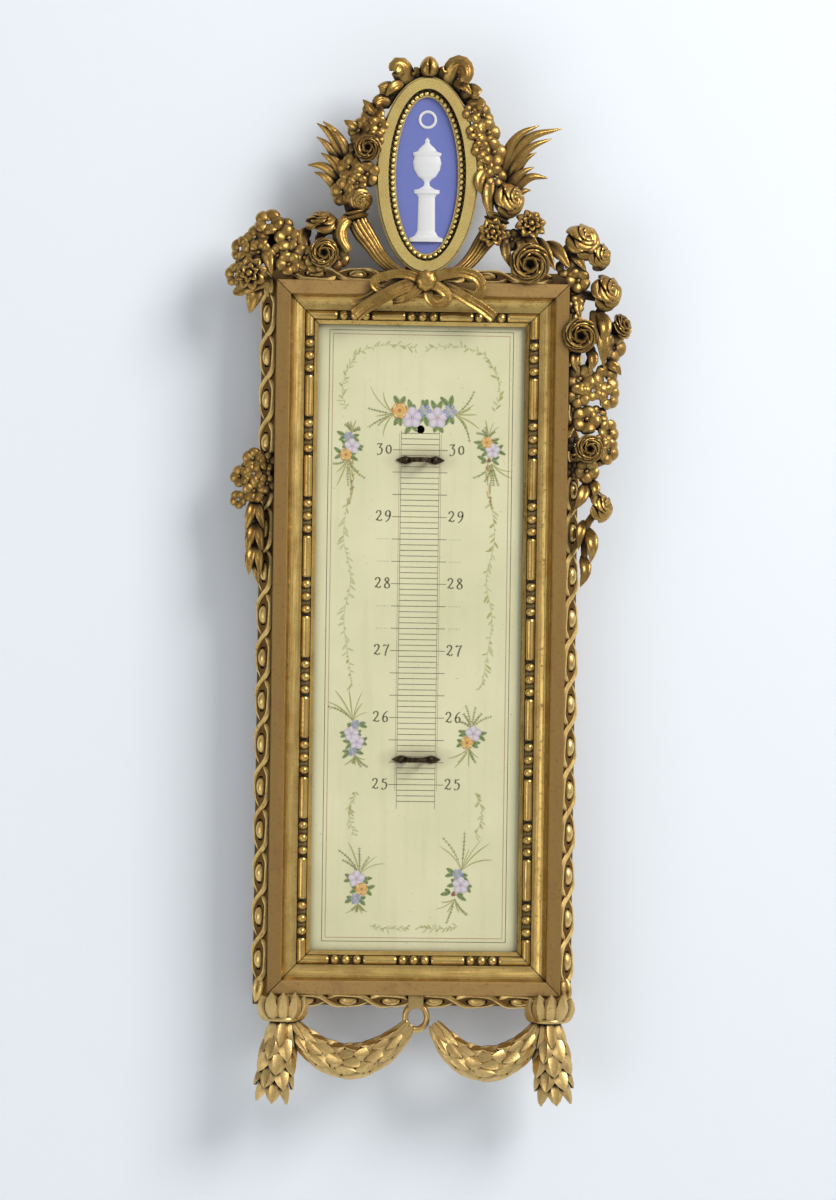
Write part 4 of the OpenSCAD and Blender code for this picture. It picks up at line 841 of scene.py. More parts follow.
class BAROMETER_OT_carve_corners(bpy.types.Operator):
    """Carve the flowers over the top left corner and the roses over the top right one"""
    bl_idname = "barometer.carve_corners"
    bl_label = "Carve the corner flowers"

    def execute(self, context):
        carve("corner_flowers_left",
              sprigs("blossom", (-62.8, 167.2, -29, 5.6, 25, -10), (-56.4, 165, -28, 4.6, 20, 15),
                                 (-54.6, 160.2, -30, 5.4, 10, 10), (-68, 160.4, -28, 5.4, 15, -25),
                                 (-66.6, 154.4, -29, 5, -5, -15), (-74.4, 156.2, -26, 4.8, 5, -45),
                                 (-72.6, 150.8, -27, 4, -10, -35), (-58.8, 153.2, -30, 4.4, -10, -5),
                                 (-54.4, 149.6, -32, 4.8, -10, 0), (-48, 152.4, -32, 5, -5, 0),
                                 (-50.6, 157, -30, 4, 10, 5), (-43.6, 150.2, -33, 4.2, -15, 0),
                                 (-34.4, 152.6, -31, 4.6, -10, 10), (-76.4, 145.6, -26, 4.4, 0, -35)),
              sprigs("hollow", (-40.4, 154.4, -33, 6.4, -5, 0)),
              sprigs("rose", (-41, 166.6, -29, 7.6, 62, 5)), sprigs("star", (-69.4, 145.8, -30, 7.4, 0, -20)),
              leaves("leaf", (7.4, (-66, 143, -26), (-68, 137, -29), (-69.8, 129.8, -27)),
                     (6, (-76.6, 138, -25), (-70, 140.6, -30), (-61, 141.4, -31)),
                     (5.6, (-64, 158, -26), (-62.6, 151, -31), (-61, 145, -31)),
                     (6, (-46, 165, -26), (-49, 160, -30), (-47, 155, -32)),
                     *[(9, (x, z + 5, -21), (x, z, -24), (x + 1, z - 6, -23)) for x, z in (
                         (-62.4, 161), (-60.8, 153.4), (-68.6, 152), (-49.4, 158), (-56, 151.4),
                         (-71.4, 147))]),
              leaves("shell", (6.4, (-27.6, 169, -28), (-32.4, 166.6, -31), (-34, 161.4, -32),
                               (-30.4, 155, -32))),
              stems((2.2, (-62, 165, -24), (-68, 157, -22), (-70, 150, -21), (-71, 142, -22)),
                    (2, (-58, 162, -24), (-52, 154, -26), (-43, 153, -27), (-41, 163, -25), (-33, 165, -24))))
        carve("rose_spray_right",
              sprigs("star", (27.6, 163.8, -33, 6.4, 0, -5), (42.8, 167.4, -30, 7, 20, 10)),
              sprigs("rose", (64.6, 161.4, -28, 8.8, 25, 30), (71.4, 155.4, -27, 6.4, -5, 45)),
              sprigs("hollow", (42.4, 152, -32, 8.8, -12, 0)),
              sprigs("blossom", (35.4, 161.4, -30, 4.4, 0, 0), (62.6, 145.4, -29, 5, -5, 5),
                                 (57.6, 150.6, -29, 4, 0, 0)),
              leaves("leaf", (6.4, (44, 163, -27), (48, 158, -31), (53, 149, -33)),
                     (6.4, (49, 161, -26), (54, 157, -31), (59, 150, -32)),
                     (5.6, (57, 160, -25), (62, 154.6, -30), (66, 149, -30)),
                     (5, (38, 163, -27), (39, 159.6, -32), (37.6, 156, -33.4)),
                     (5, (42, 164, -28), (43.6, 160.8, -33), (46.4, 158.6, -33)),
                     (5, (33, 163, -28), (33, 156, -32), (34.6, 150, -33))),
              stems((2, (27.2, 163.6, -30), (34, 160.6, -27), (41.6, 165, -26), (43, 156, -27),
                     (50, 158.6, -24), (58, 156, -23), (65, 158.6, -23)),
                    (2.2, (57, 157.4, -23), (62.6, 151, -21), (67, 147, -20.6))))
        return {"FINISHED"}


class BAROMETER_OT_carve_garlands(bpy.types.Operator):
    """Carve the long garland down the right side and the short drop on the left"""
    bl_idname = "barometer.carve_garlands"
    bl_label = "Carve the side garlands"

    def execute(self, context):
        carve("garland_right_upper",
              sprigs("rose", (74.4, 140.8, -27, 8.4, 5, 42)),
              sprigs("hollow", (63.4, 123.4, -31, 7.6, -10, 0), (79.6, 127, -24, 5.8, 15, 50)),
              sprigs("blossom", (78.6, 119, -25, 6.2, -10, 40), (63.8, 105.6, -30, 6.2, 5, -5),
                                 (75, 105.8, -28, 6, 5, 30), (76.6, 98.6, -27, 5, -10, 35),
                                 (63.2, 98.6, -30, 4.8, -10, 0), (61.6, 135.4, -30, 3.6, 0, 0),
                                 (69.6, 101, -30, 4, -5, 10)),
              leaves("leaf", (7, (68.6, 134, -26), (72.4, 122, -32), (73.4, 110, -30)),
                     (6.4, (71, 133, -27), (73.6, 127, -32), (72, 119, -32)),
                     (5, (64, 118.6, -28), (61.4, 114, -31), (62.6, 108, -31)),
                     (5, (66.4, 118.6, -28), (69, 114, -31), (67.4, 108, -31)),
                     (5.4, (66, 140, -25), (62.6, 136, -30), (63.6, 130, -31)),
                     (4.4, (74, 112, -27), (78, 111, -28), (81, 107.6, -26))),
              stems((2, (62, 140, -26), (68, 140, -22), (73, 138, -22), (70, 130, -23), (66, 124, -25),
                     (69, 116, -25), (66, 106, -26), (67, 97, -26)),
                    (1.8, (70, 130, -23), (79, 126, -21), (78, 119, -22), (75, 106, -24))))
        carve("garland_right_lower",
              sprigs("blossom", (66.7, 89.4, -29, 5.8, 10, 5), (76.6, 84.6, -26, 5.2, 0, 40),
                                 (76.8, 76.6, -26, 5.2, -10, 40), (67.2, 68.6, -28, 5, -10, 0),
                                 (72.4, 91.6, -27, 4, 20, 30), (61.4, 69.2, -27.4, 3.2, 0, -10),
                                 (72.6, 79.6, -29, 3.6, 0, 20), (62, 79, -28, 3.4, 0, -10)),
              sprigs("hollow", (67.6, 77.6, -30, 6.2, -5, 5)),
              sprigs("rose", (73.4, 54, -26, 6.8, 5, 50)),
              leaves("leaf", (5.6, (67, 64, -25), (65.4, 58, -29), (62, 52.4, -28)),
                     (4.6, (69, 65, -25), (71, 61.6, -28), (70.4, 57.4, -28)),
                     (5.8, (68.4, 46, -23), (70, 39, -28), (69.6, 31.4, -26)),
                     (4.6, (67, 49, -23), (65, 43, -26.4), (64.6, 36.6, -25)),
                     (5.2, (66.6, 35, -22), (67.6, 28, -26), (65.6, 21.4, -24))),
              stems((1.6, (67.6, 93.6, -26), (67, 89, -26), (76, 84, -23.6), (68, 78, -26.6),
                     (76.6, 76, -23.6), (67, 68.4, -25.6), (69, 61, -23), (72, 54.6, -22.6),
                     (67.8, 46, -22.6), (67.4, 32, -22.6))))
        carve("flower_drop_left",
              sprigs("blossom", (-67.6, 71.6, -25, 4.4, 10, -15), (-61.4, 70.4, -27, 3.6, 10, 0),
                                 (-73, 64.4, -24, 4.2, 0, -30), (-66.8, 58.6, -26, 4.8, 0, -10),
                                 (-61.6, 61.6, -27, 3.8, 0, 0), (-73.6, 55, -23, 3.6, -10, -30),
                                 (-67.4, 65.6, -26, 3.8, 0, -10)),
              leaves("leaf", *[(4.6, (-66.4 + side * 0.4, z + 6.4, -23), (-66.4 + side * 1.9, z + 0.6, -26.4),
                                (-66.4 + side * x, z - 6.6, -25))
                               for z, x in ((49, 3.8), (39.6, 3.2), (31, 2.2))
                               for side in (-1, 1)]),
              leaves("leaf", (4, (-66, 32, -22), (-65.4, 26.4, -25), (-64.6, 20.6, -23.6))),
              stems((1.6, (-61.6, 62, -25), (-61.6, 70, -25), (-67.6, 71, -22.4), (-72.6, 64, -21.6),
                     (-67, 58.6, -22.6), (-73, 54.8, -21)),
                    (1.7, (-67, 58.8, -22.6), (-66.4, 50, -21.6), (-66.4, 40, -21.6), (-66, 28, -21.6))))
        return {"FINISHED"}


def laurel_rope(points, rows, count, girth, size, meet):
    """Rows of laurel leaves that lap round a core along points. They point towards meet, which runs from 0
    at the start to 1 at the end. girth gives the radius, and size is a leaf's length."""
    length = sum((b - a).length for a, b in zip(points, points[1:]))
    parts = []
    for row in range(rows):
        u = (row + 0.5) / rows
        backwards = u >= meet
        root = length * u + (0.45 if backwards else -0.45) * size
        wide = 6.6 * girth(u) / count
        for k in range(count):
            parts.append(copy_of(BLANKS["laurel"],
                                 moved(root) @ turned(360 * (k + 0.5 * (row % 2)) / count, "X")
                                 @ moved(0, 0, 0.72 * girth(u)) @ turned(180 if backwards else 0)
                                 @ turned(-15, "Y") @ Matrix.Diagonal((size, wide, wide, 1))))
    core = rod(length, lambda u: 0.74 * girth(u), 10, 24)
    return bend_along(joined(parts + [core], "rope"), points)


# Each cup's side and middle, how far the pendant below it drifts sideways, and where its foot is
CUPS = (("left", -52.4, -4.2, -187.2), ("right", 55, 3, -187.4))
SWAGS = (("left", ((-49.4, -154.6, -28), (-45, -160.4, -28.6), (-37, -167, -29.4), (-26, -170.4, -30),
                   (-15, -167.4, -30.4), (-6, -160.6, -30.8), (-1.4, -155, -31))),
         ("right", ((8.4, -155.4, -26), (13, -162, -27), (20, -168.4, -28), (30, -171.2, -28.6),
                    (40, -168, -28.4), (47.6, -161, -28.2), (51.2, -154.8, -28))))


class BAROMETER_OT_carve_swags(bpy.types.Operator):
    """Carve the leaf cups, the pendants and the laurel swags below the case"""
    bl_idname = "barometer.carve_swags"
    bl_label = "Carve the cups, pendants and swags"

    def execute(self, context):
        carving = context.scene.carving
        depth, cup_foot, waist, pendant_top = -28, -154, -149.8, -154.4

        def cup_ring(u, v):
            around_ring, around_section = 2 * math.pi * u, 2 * math.pi * v
            bulge = 1.1 * math.cos(around_section)
            return Vector(((5.9 + bulge) * math.cos(around_ring), (4.9 + bulge) * math.sin(around_ring),
                           1.1 * math.sin(around_section)))

        for side, x, drift, foot in CUPS:
            crown = []
            for k in range(-6, 7):
                angle = math.radians(28 * k)
                out, over = math.sin(angle), -math.cos(angle)
                width, reach, tip = (6.8, 9.6, -143.8) if abs(k) < 3 else (5.6, 7.6, -147.6)
                if abs(k) < 2:
                    tip = -142.2
                crown.append((width, (x + 4.8 * out, cup_foot, depth + 4.2 * over),
                              (x + 8 * out, waist, depth + 6.8 * over),
                              (x + (reach + 0.6) * out, tip, depth + (reach + 0.4) * over)))
            ring = outwards(sheet(16, 8, cup_ring))
            ring.data.transform(moved(bench(x, -153.6, depth)) @ turned(90, "X"))
            core = tube([bench(x, z, depth) for z in (-155, -152, waist)], lambda u: 4.4 + 1.2 * u, 16, 8)
            carve("leaf_cup_" + side, leaves("laurel", *crown), [ring, core], finish="bright")
            hangs = [bench(x + drift * t, pendant_top + (foot - pendant_top) * t, depth)
                     for t in (0, 0.3, 0.65, 1)]
            carve("leaf_pendant_" + side, [laurel_rope(
                hangs, 5, 6, lambda u: 4.2 + 3 * math.sin(math.pi * (0.08 + 0.78 * u)) ** 1.2, 12, 2)],
                finish="bright")
        for side, points in SWAGS:
            carve("laurel_swag_" + side, [laurel_rope(
                [bench(*point) for point in points], 2 * carving.swag_rows, carving.row_leaves,
                lambda u: 2.2 + 4.2 * math.sin(math.pi * u) ** 0.8, 10.4, 0.5)], finish="bright")
        return {"FINISHED"}


# Painting: each pigment is one film on the plate, made of strokes laid flat on the bench

# The turn of the pen's broad nib, and each pigment with its colour and the coat it lies in
PEN_SLANT = aim(math.radians(12))
PIGMENTS = {"ink": ("4A3F2C", 1), "madder": ("B27A60", 1), "pale_green": ("BCBC86", 1),
            "olive": ("A6A25A", 2), "green": ("748A48", 3), "deep_green": ("52663A", 4),
            "blue_grey": ("9FA6BE", 5), "lilac": ("C3B4C2", 6), "pale_lilac": ("D3C8CE", 7),
            "ochre": ("D7A552", 8), "rust": ("B06F3C", 9), "straw": ("E3C888", 10), "wine": ("8C5548", 9),
            "blue": ("8791BC", 11)}


def on_line(points, u):
    """The place and the heading at u, from 0 to 1, on a smooth line through points."""
    place = min(u, 0.9999) * (len(points) - 1)
    k, t = int(place), place - int(place)
    a, b, c, d = (Vector(points[min(max(i, 0), len(points) - 1)]) for i in (k - 1, k, k + 1, k + 2))
    slope, turn, end = c - a, 2 * a - 5 * b + 4 * c - d, 3 * b - a - 3 * c + d
    at = 0.5 * (2 * b + slope * t + turn * t ** 2 + end * t ** 3)
    return at, (slope + 2 * turn * t + 3 * end * t ** 2).normalized()


def stroke(points, width, pen=False):
    """A flat stroke along points (x, z), pointed like a brush's, or thick and thin like a broad pen's."""
    def place(co):
        at, heading = on_line(points, co.x)
        if pen:
            half = width * (0.3 + 0.7 * abs(heading.x * PEN_SLANT.y - heading.y * PEN_SLANT.x))
        else:
            half = width * math.sin(math.pi * (0.04 + 0.92 * co.x))
        return Vector((at.x - heading.y * co.y * half, at.y + heading.x * co.y * half, 0))
    return shape(copy_of(BLANKS["stroke"]), place)


def rule(x0, z0, x1, z1, width):
    """A ruled line."""
    along = Vector((x1 - x0, z1 - z0))
    return copy_of(BLANKS["ruled"], moved((x0 + x1) / 2, (z0 + z1) / 2)
                   @ Matrix.Rotation(math.atan2(along.y, along.x), 4, "Z")
                   @ Matrix.Diagonal((along.length, width, 1, 1)))


def dab(at, wide, tall=0, turn=0.0):
    """A round dab of paint, wide by tall, turned by so many radians."""
    return copy_of(BLANKS["dab"], moved(*at) @ Matrix.Rotation(turn, 4, "Z")
                   @ Matrix.Diagonal((wide, tall or wide, 1, 1)))


def around(at, radius, count, start=0.0):
    """Places round a point, each with its angle."""
    for k in range(count):
        angle = start + 2 * math.pi * k / count
        yield at + radius * aim(angle), angle


# Skeletons of the numbers in a box 1 high: points of pen strokes, from a round hand
DIGITS = {
    "0": (((0.5, 0.4), (0.44, 0.68), (0.27, 0.8), (0.1, 0.66), (0.04, 0.4), (0.1, 0.14), (0.27, 0),
           (0.44, 0.12), (0.5, 0.4)),),
    "2": (((0.07, 0.76), (0.13, 0.93), (0.29, 1), (0.47, 0.88), (0.47, 0.66), (0.3, 0.38), (0.04, 0.05)),
          ((0.04, 0.05), (0.18, 0.12), (0.36, 0.02), (0.5, 0.04), (0.57, 0.17))),
    "3": (((0.05, 0.9), (0.18, 1), (0.34, 0.95), (0.5, 1), (0.27, 0.62)),
          ((0.27, 0.62), (0.46, 0.56), (0.52, 0.34), (0.42, 0.04), (0.2, -0.08), (0.05, 0.02))),
    "5": (((0.17, 0.97), (0.13, 0.6)), ((0.16, 0.95), (0.3, 0.9), (0.52, 1)),
          ((0.13, 0.6), (0.32, 0.63), (0.49, 0.48), (0.48, 0.2), (0.33, 0), (0.14, -0.04), (0.04, 0.08))),
    "6": (((0.5, 1.02), (0.3, 0.88), (0.12, 0.6), (0.06, 0.28), (0.15, 0.05), (0.31, 0), (0.47, 0.12),
           (0.49, 0.34), (0.37, 0.52), (0.2, 0.5), (0.07, 0.34)),),
    "7": (((0.03, 0.82), (0.1, 0.96), (0.3, 0.92), (0.56, 1)),
          ((0.56, 1), (0.4, 0.68), (0.28, 0.34), (0.2, -0.08))),
    "8": (((0.44, 0.86), (0.29, 1), (0.12, 0.88), (0.14, 0.7), (0.32, 0.52), (0.5, 0.32), (0.48, 0.08),
           (0.29, -0.02), (0.09, 0.08), (0.08, 0.3), (0.26, 0.52), (0.43, 0.7), (0.44, 0.86)),),
    "9": (((0.49, 0.7), (0.39, 0.5), (0.21, 0.47), (0.07, 0.62), (0.1, 0.88), (0.27, 1), (0.44, 0.92),
           (0.5, 0.7), (0.45, 0.38), (0.3, 0.1), (0.06, -0.08)),),
}


def painted_rose(paint, at, r):
    """An ochre rose: round petals, darker arcs between them and a light heart."""
    paint["ochre"] += [dab(at, 1.3 * r)] + [dab(p, 1.1 * r, 0.95 * r, a) for p, a in around(at, 0.5 * r, 6)]
    for p, a in around(at, 0.62 * r, 5, 0.4):
        paint["rust"].append(stroke([p + 0.34 * r * aim(a + t) for t in (2, 1, 0, -1)], 0.16 * r))
    paint["rust"].append(dab(at, 0.5 * r))
    paint["straw"] += [dab(p, 0.5 * r, 0.22 * r, a + 1.5) for p, a in around(at, 0.8 * r, 4, 0.9)]


def painted_anemone(paint, at, r):
    """A pale lilac flower with broad petals and grey veins."""
    paint["lilac"] += [dab(p, 1.15 * r, 1.0 * r, a) for p, a in around(at, 0.55 * r, 5, 0.3)]
    paint["pale_lilac"] += [dab(p, 0.7 * r, 0.5 * r, a) for p, a in around(at, 0.68 * r, 5, 0.3)]
    paint["blue_grey"] += [stroke([at, (at + p) / 2, p], 0.07 * r) for p, a in around(at, 0.75 * r, 10)]
    paint["wine"] += [dab(p, 0.12 * r) for p, a in around(at, 0.12 * r, 3)]


def painted_cluster(paint, at, r):
    """Small blue flowers with straw-coloured hearts, close together."""
    for k, (p, a) in enumerate([(at, 0)] + list(around(at, 0.72 * r, 6))):
        petals = paint["blue" if k % 3 else "blue_grey"]
        petals += [dab(q, 0.3 * r, 0.22 * r, b) for q, b in around(p, 0.2 * r, 5, a)]
        paint["straw"].append(dab(p, 0.14 * r))


def painted_bud(paint, at, r):
    """A wine-red bud."""
    paint["wine"] += [dab(at + Vector((0.1 * r * k, 0)), 0.5 * r, 0.9 * r, 0.5 * k) for k in (-1, 0, 1)]
    paint["ochre"].append(dab(at, 0.3 * r, 0.5 * r))


def painted_leaf(paint, root, tip, width):
    """A broad leaf with a dark rib."""
    middle = (root + tip) / 2
    paint["green"].append(stroke([root, middle, tip], width))
    paint["deep_green"].append(stroke([root, middle, tip], 0.3 * width))


def painted_grass(paint, root, angle, length, bend, luck):
    """A blade of grass that turns by bend to its tip, and sometimes small dots like seeds along it."""
    points = [root + aim(angle + bend * t) * length * t for t in (0, 0.35, 0.7, 1)]
    paint["olive" if luck < 0.7 else "green"].append(stroke(points, 0.5 if luck < 0.4 else 0.3))
    if luck > 0.55:
        for i in range(3, 10):
            at, heading = on_line(points, i / 10)
            for side in (-1, 1):
                place = at + side * 0.35 * Vector((-heading.y, heading.x))
                paint["deep_green" if i % 2 else "olive"].append(
                    dab(place, 0.45, 0.2, math.atan2(heading.y, heading.x) + 0.7 * side))


FLOWER_KINDS = {"rose": painted_rose, "anemone": painted_anemone, "cluster": painted_cluster,
                "bud": painted_bud}


def bouquet(paint, chance, middle, turn, size, flowers, reach):
    """A spray: flowers in a row along turn, leaves beside them, and grass that reaches out at both ends by
    the two lengths in reach."""
    middle = Vector(middle)
    along = aim(turn)
    across = Vector((-along.y, along.x))
    row = len(flowers)
    for k, kind in enumerate(flowers):
        at = middle + along * size * 1.5 * (k - (row - 1) / 2) + across * size * 0.4 * (-1) ** k
        big = size * (1.15 if kind == "anemone" else 0.95 if kind == "rose" else 0.8)
        for side in (-1, 1):
            for lean in (0.5, -0.35):
                root = at + across * side * big * 0.6
                angle = turn + side * (math.pi / 2 + lean + 0.5 * (chance.random() - 0.5))
                length = size * (0.9 + 0.8 * chance.random())
                painted_leaf(paint, root, root + length * aim(angle), 0.62 * size)
        FLOWER_KINDS[kind](paint, at, big)
    for end, length in zip((-1, 1), reach):
        root = middle + along * end * size * 0.72 * row
        for k in range(-3, 4):
            spread = k / 3 + 0.4 * (chance.random() - 0.5)
            angle = turn + (math.pi if end < 0 else 0) + 0.6 * spread
            painted_grass(paint, root, angle, length * (0.45 + 0.55 * chance.random()), 0.4 * spread,
                          chance.random())


def vine(paint, chance, side, size, *places):
    """A faint thin stem through places (x, z) on one side of the plate, with small leaves here and there."""
    points = [(side * x, z) for x, z in places]
    paint["pale_green"].append(stroke(points, 0.18))
    steps = 8 * len(points)
    for i in range(1, steps):
        at, heading = on_line(points, i / steps)
        angle = math.atan2(heading.y, heading.x) + chance.choice((-1, 1)) * (0.4 + 0.8 * chance.random())
        tip = at + size * (0.3 + chance.random()) * aim(angle)
        paint[chance.choice(("pale_green", "pale_green", "olive"))].append(
            stroke([at, (at + tip) / 2, tip], size * (0.15 + 0.2 * chance.random())))


def tail(paint, chance, side, *places):
    """Small ochre flowers and leaves that hang down through places (x, z) on one side of the plate."""
    points = [(side * x, z) for x, z in places]
    for i in range(16):
        at, heading = on_line(points, i / 15)
        at = at + (1.3 - 0.05 * i) * Vector((chance.uniform(-1, 1), chance.uniform(-1, 1)))
        paint["olive"].append(stroke([at, at + 1.2 * heading, at + 2.6 * heading], 0.4))
        paint[chance.choice(("ochre", "straw", "rust"))] += [
            dab(p, 0.5, 0.32, a) for p, a in around(at, 0.34, 2 + i % 3, i)]


class BAROMETER_OT_paint_plate(bpy.types.Operator):
    """Paint the border, the scale with its numbers, and the flowers of the plate"""
    bl_idname = "barometer.paint_plate"
    bl_label = "Paint the plate"

    def execute(self, context):
        plate = context.scene.plate
        BLANKS["stroke"] = sheet(24, 1, lambda u, v: Vector((u, v - 0.5, 0)))
        BLANKS["ruled"] = sheet(1, 1, lambda u, v: Vector((u - 0.5, v - 0.5, 0)))
        deselect()
        bpy.ops.mesh.primitive_circle_add(vertices=14, radius=0.5, fill_type="NGON")
        BLANKS["dab"] = bpy.context.object
        paint = {name: [] for name in PIGMENTS}
        chance = random.Random(11)
        line, inch, tall = (value / MM for value in (plate.rule_width, plate.inch, plate.digit_height))

        # Two borders inside the sight edge
        for colour, x, top, foot in (("ink", 37.2, 124.3, -122.7), ("madder", 35.8, 122.7, -121.2)):
            paint[colour] += [rule(-x, top, x, top, line), rule(-x, foot, x, foot, line),
                              rule(-x, top, -x, foot, line), rule(x, top, x, foot, line)]

        # The scale: a ladder of twelfths, with a long line at each third and a number at each inch
        lowest, highest, twelfths, highest_z = 25, 30, 12, 76.1
        half, reach, rail_gap = 7.75, 11.1, 0.7

        def z_of(number):
            return highest_z + (number - highest) * inch

        for step in range(-3, (highest - lowest) * twelfths + 4):
            number = highest - step / twelfths
            out = reach if step % 4 == 0 and lowest <= number <= highest else half
            paint["ink"].append(rule(-out, z_of(number), out, z_of(number), line))
        for x in (-half, half):
            beside = x + math.copysign(rail_gap, x)
            paint["ink"].append(rule(x, z_of(30.25) + 1, x, z_of(24.75) - 3, 0.6 * line))
            paint["madder"].append(rule(beside, z_of(30.25), beside, z_of(24.9), 0.5 * line))
        for number in range(lowest, highest + 1):
            for left in (-17.7, 11.7):
                for k, digit in enumerate(str(number)):
                    foot = z_of(number) - (0.42 if digit != "0" else 0.36) * tall
                    for points in DIGITS[digit]:
                        paint["ink"].append(stroke([(left + (x + 0.9 * k) * tall, foot + z * tall)
                                                    for x, z in points], 0.15 * tall, pen=True))
        dots, first_dot, dot_pitch, dot_size = 5, 1.4, 1.05, 0.3
        for step in (4, 8, 16, 20):
            for side in (-1, 1):
                paint["ink"] += [dab(Vector((side * (reach + first_dot + dot_pitch * k),
                                             z_of(29 - step / twelfths))), dot_size) for k in range(dots)]

        # Sprays: one over the scale, two hanging from it, and two pairs below
        for middle, degrees, size, flowers, ends in (
                ((1.6, 90.6), 0, 3.4, "rose anemone cluster anemone cluster", (17, 13)),
                ((-28.6, 77.4), 82, 2.5, "rose anemone cluster", (12, 7)),
                ((28.4, 76.2), 98, 2.4, "bud anemone rose", (12, 8)),
                ((-25.2, -40.6), 95, 2.4, "cluster anemone anemone cluster", (8, 15)),
                ((21.8, -40.2), 84, 2.6, "rose anemone", (11, 11)),
                ((-22.4, -101.6), 88, 2.7, "cluster rose anemone", (7, 15)),
                ((17.8, -99.4), 78, 2.7, "bud anemone cluster", (12, 17))):
            bouquet(paint, chance, middle, math.radians(degrees), size, flowers.split(), ends)
        for side in (-1, 1):
            vine(paint, chance, side, 2.4, (30, 92), (32, 100), (29, 110), (24, 116), (12, 118.6), (2, 117))
            vine(paint, chance, side, 2.8, (29, 56), (30.6, 40), (27.4, 24), (30, 8), (28, -8), (26, -20))
            tail(paint, chance, side, (28.4, 72), (27.6, 64), (28.6, 55))
            vine(paint, chance, side, 2.4, (24, -62), (27, -70), (24.6, -80))
            vine(paint, chance, side, 2, (18, -116.4), (10, -117.6), (2, -116.8))

        # The marks of one film lie at nine slightly different heights, so that none flickers through another
        coat = plate.paint / MM
        front = bench_box("scale_plate")[1].z
        for name, (colour, level) in PIGMENTS.items():
            for k, mark in enumerate(paint[name]):
                mark.data.transform(moved(0, 0, coat * (k % 9) / 10))
            film = joined(paint[name], "painted_" + name)
            film.data.transform(moved(0, 0, front + coat * (1 + level)))
            modifier(film, "SOLIDIFY", thickness=0.9 * coat, offset=-1)
            hang(film, pigment(name.replace("_", " ").capitalize() + " paint", colour), "painted_plate")
        return {"FINISHED"}


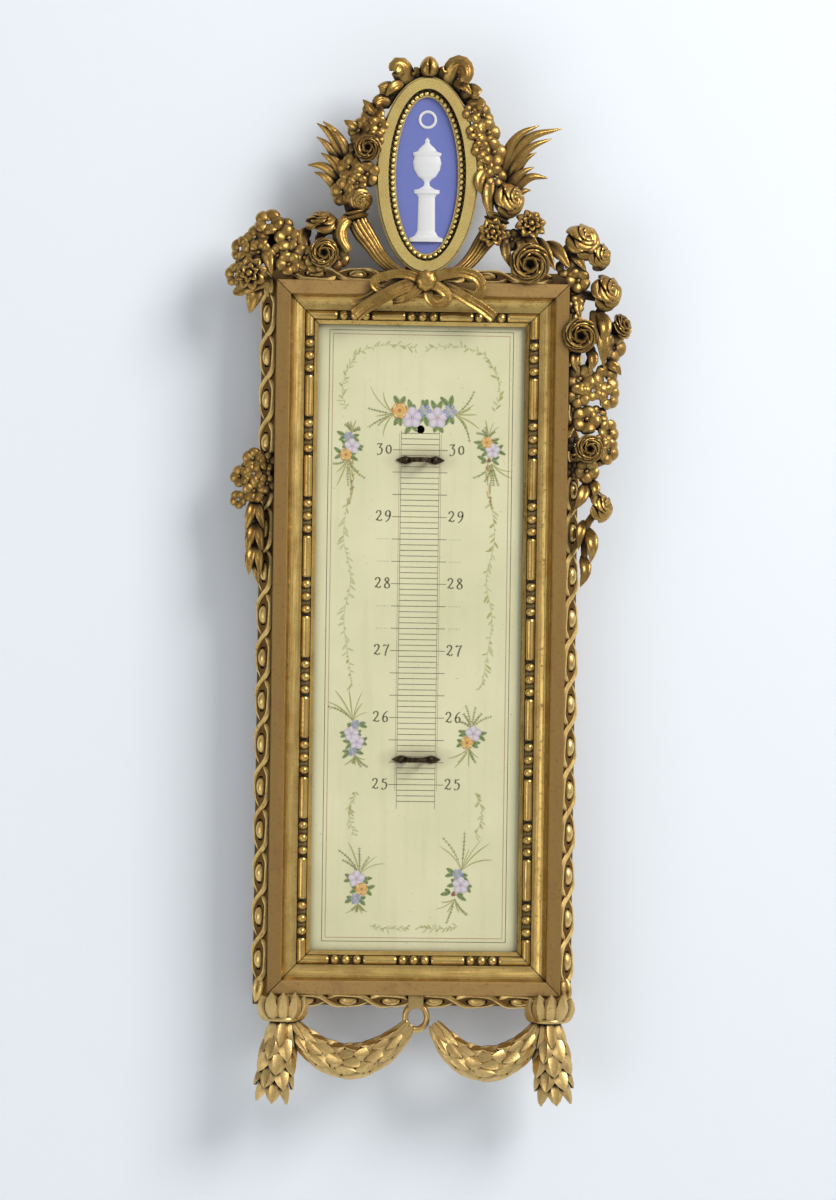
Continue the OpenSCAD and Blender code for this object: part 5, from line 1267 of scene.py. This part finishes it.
class BAROMETER_OT_studio(bpy.types.Operator):
    """Build the wall, the floor, the lamps and the camera"""
    bl_idname = "barometer.studio"
    bl_label = "Set up the studio"

    def execute(self, context):
        studio = context.scene.studio
        wall_size, wall_gap, floor_place = 8, 0.0005, (0, -4, -1.2)

        # Seen from behind, and by the back of the case that hangs against it, the wall lets the light through
        touching_distance = 0.012
        wall_paint, add = blank_material("Pale wall")
        behind = add("NewGeometry").outputs["Backfacing"]
        touching = add("Math", add("LightPath").outputs["Ray Length"], touching_distance,
                       operation="LESS_THAN")
        see_through = add("Math", behind, touching, operation="MAXIMUM")
        add("OutputMaterial", add("MixShader", see_through, add("BsdfDiffuse", studio.wall),
                                  add("BsdfTransparent")))
        for name, spot, tilt in (("studio_wall", (0, wall_gap, 0), 90), ("studio_floor", floor_place, 0)):
            deselect()
            bpy.ops.mesh.primitive_plane_add(size=wall_size, location=spot,
                                             rotation=(math.radians(tilt), 0, 0))
            surface = context.object
            surface.name = name
            surface.data.materials.append(wall_paint)

        world = bpy.data.worlds.new("Studio")
        world.use_nodes = True
        world.node_tree.nodes.clear()
        add = partial(add_node, world.node_tree)
        # The room is brighter on the key lamp's side
        towards_key = Vector((0.62, -0.5, 0.6)).normalized()
        facing_key = add("VectorMath", add("TexCoord").outputs["Generated"], towards_key,
                         operation="DOT_PRODUCT").outputs["Value"]
        strength = add("MapRange", facing_key, -0.7, 1, 0.1, 0.58, interpolation_type="SMOOTHSTEP")
        add("OutputWorld", add("Background", "F2F5FA", strength))
        context.scene.world = world

        for name, power, size, spot in (("Key", studio.key_power, 0.7, (0.95, -1.0, 0.85)),
                                        ("Fill", studio.fill_power, 1.0, (-1.1, -1.2, -0.3))):
            lamp = bpy.data.lights.new(name, "AREA")
            lamp.energy = power
            lamp.size = size
            lamp_object = bpy.data.objects.new(name, lamp)
            lamp_object.location = spot
            lamp_object.rotation_euler = (-Vector(spot)).to_track_quat("-Z", "Y").to_euler()
            context.scene.collection.objects.link(lamp_object)

        camera = bpy.data.cameras.new("Camera")
        camera.sensor_fit = "VERTICAL"
        camera.lens = camera.sensor_height * studio.distance / studio.view_height
        camera_object = bpy.data.objects.new("Camera", camera)
        camera_object.location = (studio.side, -studio.distance, studio.height)
        camera_object.rotation_euler = studio.turn
        context.scene.collection.objects.link(camera_object)
        context.scene.camera = camera_object
        context.scene.view_settings.view_transform = "Standard"
        return {"FINISHED"}


OPERATORS = (BAROMETER_OT_finish_case, BAROMETER_OT_cut_blanks, BAROMETER_OT_carve_edge,
             BAROMETER_OT_carve_horns, BAROMETER_OT_carve_bow, BAROMETER_OT_carve_medallion_flowers,
             BAROMETER_OT_carve_corners, BAROMETER_OT_carve_garlands, BAROMETER_OT_carve_swags,
             BAROMETER_OT_paint_plate, BAROMETER_OT_studio)
SETTINGS = {"gilding": GildingSettings, "plate": PlateSettings, "carving": CarvingSettings,
            "studio": StudioSettings}


class BAROMETER_PT_build(bpy.types.Panel):
    """Lists the steps that dress the barometer"""
    bl_idname = "BAROMETER_PT_build"
    bl_label = "Barometer"
    bl_space_type = "VIEW_3D"
    bl_region_type = "UI"
    bl_category = "Barometer"

    def draw(self, context):
        for operator in OPERATORS:
            self.layout.operator(operator.bl_idname)
        for group in SETTINGS:
            settings = getattr(context.scene, group)
            box = self.layout.box()
            for name in settings.__annotations__:
                box.prop(settings, name)


def register():
    for group in (*SETTINGS.values(), *OPERATORS, BAROMETER_PT_build):
        bpy.utils.register_class(group)
    for name, group in SETTINGS.items():
        setattr(bpy.types.Scene, name, PointerProperty(type=group))


def unregister():
    for name in SETTINGS:
        delattr(bpy.types.Scene, name)
    for group in (BAROMETER_PT_build, *reversed(OPERATORS), *reversed(SETTINGS.values())):
        bpy.utils.unregister_class(group)


def main():
    register()
    for operator in OPERATORS:
        category, name = operator.bl_idname.split(".")
        getattr(getattr(bpy.ops, category), name)()
    discard(*BLANKS.values())


if __name__ == "__main__":
    main()
